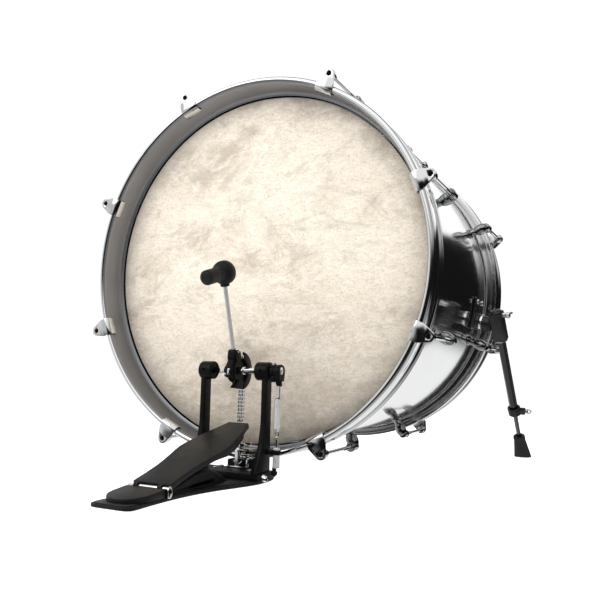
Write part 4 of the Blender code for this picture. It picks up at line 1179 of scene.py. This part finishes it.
def make_beater():
    """Round shaft and two-sided beater, leaning back at rest."""
    up = Vector((0.0, -math.sin(LEAN), math.cos(LEAN)))
    along = place(AXLE, up, X)
    shaft = turned([(0.0, 0.0102, 0), (0.0031, 0.0102), (0.0031, 0.1488), (0.0, 0.149, 0)], 0.0006, 3, 36)
    piece("beater_rod", moved(shaft, along), "satin_steel", "beater", "beater_shaft")
    reach = 0.147
    profile = [(0.0, 0.0126, 0), (0.008, 0.0122, 0.01), (0.015, 0.0102, 0.006),
        (0.0175, 0.0062, 0.004), (0.0177, -0.0005, 0.003), (0.0166, -0.0048, 0.004),
        (0.0136, -0.0088, 0.004), (0.0112, -0.0114, 0.002), (0.0108, -0.015, 0.001),
        (0.0108, -0.019, 0.0004), (0.0104, -0.0194, 0.0002), (0.0104, -0.0202, 0.0002),
        (0.0108, -0.0206, 0.0004), (0.0108, -0.0446, 0.0028), (0.006, -0.0474, 0.002), (0.0, -0.0474, 0)]
    strike = Vector((0.0, math.cos(LEAN), math.sin(LEAN)))
    head = moved(turned(profile, 0.002, 5, 56), place(AXLE + up * reach, strike, X))
    bore = moved(cylinder(0.0033, 0.0, reach + 0.0024, 28), along)
    head = carved(head, [bore])
    collar = lathe(fillet([(0.0033, reach - 0.02), (0.0066, reach - 0.02), (0.0072, reach - 0.012),
        (0.0033, reach - 0.012)], 0.0008, 3), 32, closed=True)
    head = merged([head, moved(collar, along)])
    piece("beater_felt", head, "beater_plastic", "beater", "beater_head")


def chain_link(outer, pitch):
    """Four figure-eight side plates of one link, along local -Z from the joint at the origin."""
    radius = 0.0023
    waist = 0.0016
    line = arc((0.0, 0.0), radius, 20.0, 160.0, 8) + [(-waist, -pitch / 2)]
    line += arc((0.0, -pitch), radius, 200.0, 340.0, 8) + [(waist, -pitch / 2)]
    edges = (-0.0046, -0.0009) if outer else (-0.0039, -0.0016)
    plates = []
    for x in edges:
        for sign in (1.0, -1.0):
            centre = x * sign
            plates.append(side_prism(line, centre - 0.00032, centre + 0.00032))
    return merged(plates)


def chain_joint():
    """Rollers across a joint of the double chain, on a pin that ends flush with the plates."""
    pin = cylinder(0.0009, -0.0052, 0.0052, 12)
    rollers = []
    for x in (-0.00275, 0.0, 0.00275):
        rollers.append(pin_shape(0.002, x - 0.001, x + 0.001, 0.0002, 1, 14))
    return moved(merged([pin] + rollers), ALONG_X)


def make_chain():
    """Double roller chain: links wound on the sprocket turn with it, the hanging run moves with the board."""
    pitch = CHAIN_PITCH
    radius = SPROCKET_R
    hanging = []
    rollers = []
    start = Vector((0.0, radius, 0.001))
    end = Vector((0.0, 0.0158, -0.0736))
    run = end - start
    count = int(run.length / pitch)
    step = run / count
    for i in range(count + 1):
        at = start + step * i
        frame_at = Matrix.Translation(at) @ place((0, 0, 0), -step, X)
        rollers.append(moved(chain_joint(), frame_at))
        if i < count:
            hanging.append(moved(chain_link(i % 2 == 0, step.length), frame_at))
    body = moved(merged(hanging), TO_AXLE)
    piece("chain_run", body, "chrome", "footboard", "chain")
    piece("chain_rollers", moved(merged(rollers), TO_AXLE), "oiled_steel", "footboard")
    wound = []
    angle = math.degrees(2 * math.asin(pitch / 2 / radius))
    for i in range(1, 8):
        here = math.radians(angle * i + 3.0)
        before = math.radians(angle * (i - 1) + 3.0)
        first = Vector((0.0, radius * math.cos(here), radius * math.sin(here)))
        second = Vector((0.0, radius * math.cos(before), radius * math.sin(before)))
        frame_at = Matrix.Translation(first) @ place((0, 0, 0), first - second, X)
        wound.append(moved(chain_joint(), frame_at))
        wound.append(moved(chain_link(i % 2 == 0, pitch), frame_at))
    piece("chain_wrap", moved(merged(wound), TO_AXLE), "chrome", "axle")


def make_spring():
    """Stirrup on the rocker's pin, close-wound spring with end hooks, and the tension nut below."""
    x = PEDAL_X + SPRING_X
    at = shift(x, AXLE.y, 0.0)
    top = AXLE_Z - PIN_DROP
    stirrup = fillet([(-0.0042, top + 0.0034), (0.0042, top + 0.0034), (0.0042, 0.1162),
        (-0.0042, 0.1162)], 0.0026, 5)
    slot = fillet([(-0.0018, top - 0.003), (0.0018, top - 0.003), (0.0018, 0.119), (-0.0018, 0.119)],
        0.0015, 4)
    face = prism(stirrup, -0.0024, 0.0024, 0.0006, 2)
    face = carved(face, [prism(slot, -0.01, 0.01)])
    moved(face, UPRIGHT)
    bend = moved(subdivided(face, 0.003), at)
    body = piece("spring_stirrup", bend, "chrome", None, "return_spring")
    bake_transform(body)
    coil_top = 0.1156
    coil_low = 0.0756
    wire = 0.0009
    radius = 0.0043
    turns = 26
    steps = 18
    path = [(0.0, 0.0, 0.1192), (0.0008, 0.0, 0.1176)]
    for i in range(turns * steps + 1):
        a = math.tau * i / steps
        path.append((radius * math.cos(a), radius * math.sin(a), coil_top
            + (coil_low - coil_top) * i / (turns * steps)))
    path += [(0.0008, 0.0, 0.0742), (0.0, 0.0, 0.0728)]
    coil = tube(path, wire, 8)
    hook = [(0.0026 * math.sin(math.tau * i / 24), 0.0, 0.0676 + 0.0052 * math.cos(math.tau * i / 24))
        for i in range(24)]
    hook = tube(hook, 0.0009, 8, closed=True)
    stem = turned([(0.0, 0.0275, 0), (0.0014, 0.0275, 0), (0.0014, 0.06), (0.003, 0.0606),
        (0.003, 0.0628), (0.0, 0.063, 0)], 0.0004, 2, 20)
    piece("spring_coil", moved(coil, at), "spring_steel", "drum")
    piece("spring_hook", moved(merged([hook, stem]), at), "chrome", "drum")
    core = cylinder(radius + 0.0004, coil_low, coil_top, 24)
    piece("spring_core", moved(core, at), "spring_steel", "drum")
    ridges = []
    for i in range(40):
        a = math.tau * i / 40
        size = 0.005 if i % 2 else 0.00465
        ridges.append((size * math.cos(a), size * math.sin(a)))
    knurl = prism(ridges, 0.0205, 0.0372, 0.0)
    cap = turned([(0.0, 0.0368, 0), (0.0046, 0.0368, 0), (0.0042, 0.0384), (0.0, 0.0386, 0)], 0.0005, 3,
        32)
    upper = prism(hexagon(0.0052), 0.045, 0.0484, 0.0005, 2)
    nut = moved(merged([knurl, cap, upper]), at)
    piece("spring_nut", nut, "spring_steel", "drum")


def make_clamp():
    """Sheet-metal jaw over the hoop bead with a cupped step, and the bolt with its lever wing."""
    top = block((-0.0178, -0.0218, 0.037), (0.0178, 0.0108, 0.0411), 0.0011)
    straps = [block((-0.005, -0.0258, 0.0136), (0.002, -0.0212, 0.0392), 0.0009),
        block((0.014, -0.025, 0.0136), (0.0178, -0.0212, 0.027), 0.0009)]
    barrel = turned([(0.0, 0.006, 0), (0.0044, 0.006), (0.0044, 0.0096), (0.0036, 0.0098, 0),
        (0.0036, 0.0106, 0), (0.0044, 0.0108), (0.0044, 0.017), (0.0, 0.0172, 0)], 0.0006, 3, 32)
    straps.append(moved(barrel, place((0.0, -0.0232, 0.03), X, Y)))
    lever = fillet([(0.0165, 0.0282), (0.028, 0.0262), (0.0302, 0.0284), (0.029, 0.0304),
        (0.0165, 0.0314)], 0.0014, 4)
    lever = moved(prism(lever, 0.0216, 0.0246, 0.0007, 2), UPRIGHT)
    straps.append(lever)
    foot = block((-0.0178, -0.0272, 0.0135), (0.0178, -0.0208, 0.0158), 0.0007, 2)
    collar = collar_ring(0.0035, 0.0067, 0.0302, 0.0429, 0.0008, 3, 36)
    moved(collar, shift(0.0, CLAMP_Y, 0.0))
    cup = arc((0.0, 0.0265), 0.0086, 200.0, 340.0, 14)
    cup = [Vector(p) for p in cup] + [Vector((p[0] * 0.76, 0.0265 + (p[1] - 0.0265) * 0.76))
        for p in reversed(cup)]
    cup = prism(cup, 0.0214, 0.025, 0.0005, 2)
    moved(cup, UPRIGHT)
    jaw = moved(merged([top, foot, collar, cup] + straps), TO_PEDAL)
    piece("clamp_bracket", jaw, "chrome", "clamp_jaw", "clamp_jaw")
    screw = [(0.0, 0.0245)]
    for i in range(11):
        screw += [(0.0025, 0.0246 + 0.001 * i), (0.003, 0.0251 + 0.001 * i)]
    screw += [(0.0028, 0.036), (0.0028, 0.0436), (0.0, 0.0436)]
    stem = lathe(screw, 20, angle=20.0)
    boss = turned([(0.0, 0.0434, 0), (0.0058, 0.0434), (0.0054, 0.0486), (0.0, 0.0488, 0)], 0.0007, 3, 32)
    half = fillet([(0.003, 0.044), (0.012, 0.0446), (0.0164, 0.047), (0.0164, 0.0504),
        (0.012, 0.0503), (0.004, 0.0486)], 0.0016, 4)
    wing = mirrored(half)
    wing = prism(wing, -0.0018, 0.0018, 0.0007, 2)
    moved(wing, UPRIGHT)
    bolt = moved(merged([stem, boss, wing]), TO_PEDAL @ shift(0.0, CLAMP_Y, 0.0))
    piece("clamp_wing_bolt", bolt, "chrome", "clamp_bolt", "clamp_bolt")


# ---------------------------------------------------------------- stage and light
FLOOR_R = 1.95
FLOOR_GLOW = 0.9           # the floor is lit from below like a light table
DIFFUSE_WHITE = 0.99
GLOSS_WHITE = 1.06
BACKDROP_WHITE = 1.05       # what the camera sees beyond the floor
DARKEST_GLOSS = 0.006


def make_stage():
    disc = cylinder(FLOOR_R, -0.0004, -0.003, 96)
    floor = bpy.data.objects.new("floor", disc)
    paint = Paint("floor_paper", (0.93, 0.93, 0.93), 0.9, 0.0, 0.1)
    grain = paint.noise(300.0, 3.0)
    paint.use(paint.mix(paint.range(grain, 0.0, 1.0), (0.935, 0.935, 0.935), (0.925, 0.925, 0.927)),
        "Base Color")
    paint.set("Emission Color", (1.0, 1.0, 1.0, 1.0))
    paint.set("Emission Strength", FLOOR_GLOW)
    disc.materials.append(paint.mat)
    floor.visible_glossy = False
    bpy.context.scene.collection.objects.link(floor)


def make_world():
    """Even white light on everything, and a studio of white screens and dark gaps in the reflections."""
    world = bpy.data.worlds.new("studio")
    bpy.context.scene.world = world
    world.use_nodes = True
    world.cycles.sampling_method = "NONE"
    tree = world.node_tree
    tree.nodes.clear()

    def node(kind, **values):
        made = tree.nodes.new(kind)
        for key, value in values.items():
            setattr(made, key, value)
        return made

    def combine(operation, first, second):
        made = node("ShaderNodeMath", operation=operation)
        for socket, item in zip(made.inputs, (first, second)):
            if isinstance(item, float):
                socket.default_value = item
            else:
                tree.links.new(item, socket)
        return made.outputs[0]

    def rise(value, low, high, start=0.0, end=1.0):
        """Smooth change from start to end while the value goes from low to high."""
        made = node("ShaderNodeMapRange", interpolation_type="SMOOTHSTEP")
        tree.links.new(value, made.inputs["Value"])
        for socket, number in (("From Min", low), ("From Max", high), ("To Min", start), ("To Max", end)):
            made.inputs[socket].default_value = number
        return made.outputs["Result"]

    coords = node("ShaderNodeTexCoord")
    parts = node("ShaderNodeSeparateXYZ")
    tree.links.new(coords.outputs["Generated"], parts.inputs["Vector"])
    side, ahead, height = parts.outputs
    # beyond the drum: a white screen above a black gap, and the white floor below it
    screen = combine("MULTIPLY", rise(height, 0.262, 0.285), rise(height, 0.6, 0.86, 1.0, 0.16))
    ground = rise(height, -0.2, -0.1, 0.84, 0.0)
    window = combine("MAXIMUM", rise(side, -0.74, -0.62, 0.9, 0.0), rise(side, -0.46, -0.22, 0.42, 0.0))
    beyond = combine("MAXIMUM", combine("MAXIMUM", screen, ground), window)
    beyond = combine("MULTIPLY", beyond, rise(side, 0.35, 0.75, 1.0, 0.3))
    # on the player's side: a soft window to the left and a high white ceiling, dark low behind the camera
    left = combine("MULTIPLY", rise(side, -0.52, -0.2, 1.0, 0.0), rise(height, -0.3, -0.02, 0.1, 0.6))
    left = combine("MAXIMUM", left, rise(side, -0.86, -0.62, 0.78, 0.0))
    ceiling = combine("MULTIPLY", rise(height, 0.14, 0.32), rise(side, -0.6, -0.2, 0.66, 1.0))
    carpet = rise(height, -0.8, -0.45, 0.45, 0.0)
    behind = combine("MAXIMUM", combine("MAXIMUM", left, ceiling), carpet)
    behind = combine("MULTIPLY", behind, rise(side, 0.25, 0.8, 1.0, 0.42))
    turn = rise(ahead, -0.1, 0.2)
    glow = combine("ADD", combine("MULTIPLY", beyond, turn), combine("MULTIPLY", behind,
        combine("SUBTRACT", 1.0, turn)))
    glow = combine("MULTIPLY", combine("MAXIMUM", glow, DARKEST_GLOSS), GLOSS_WHITE)
    rays = node("ShaderNodeLightPath")
    shine = node("ShaderNodeMix", data_type="FLOAT")
    tree.links.new(rays.outputs["Is Glossy Ray"], shine.inputs[0])
    shine.inputs[2].default_value = DIFFUSE_WHITE
    tree.links.new(glow, shine.inputs[3])
    seen = node("ShaderNodeMix", data_type="FLOAT")
    tree.links.new(rays.outputs["Is Camera Ray"], seen.inputs[0])
    tree.links.new(shine.outputs[0], seen.inputs[2])
    seen.inputs[3].default_value = BACKDROP_WHITE
    background = node("ShaderNodeBackground")
    tree.links.new(seen.outputs[0], background.inputs["Strength"])
    background.inputs["Color"].default_value = (1.0, 1.0, 1.0, 1.0)
    output = node("ShaderNodeOutputWorld")
    tree.links.new(background.outputs[0], output.inputs["Surface"])


def soft_light(name, at, target, size, power):
    data = bpy.data.lights.new(name, "AREA")
    data.size = size
    data.energy = power
    light = bpy.data.objects.new(name, data)
    bpy.context.scene.collection.objects.link(light)
    way = Vector(target) - Vector(at)
    light.matrix_world = Matrix.Translation(at) @ way.to_track_quat("-Z", "Y").to_matrix().to_4x4()


make_shell()
make_head("batter", ROUND_DRUM, "calfskin")
make_head("resonant", ROUND_DRUM_BACK, "coated_film")
for side, matrix in SIDES:
    make_hoop(side, matrix)
make_tension_gear()
make_spurs()
make_base()
make_heel()
make_footboard()
make_post("left", -1.0)
make_post("right", 1.0)
make_axle()
make_cam()
make_beater()
make_chain()
make_spring()
make_clamp()
make_stage()
make_world()
soft_light("key", (-1.3, -1.9, 1.9), (0.0, 0.0, 0.3), 1.4, 12.0)
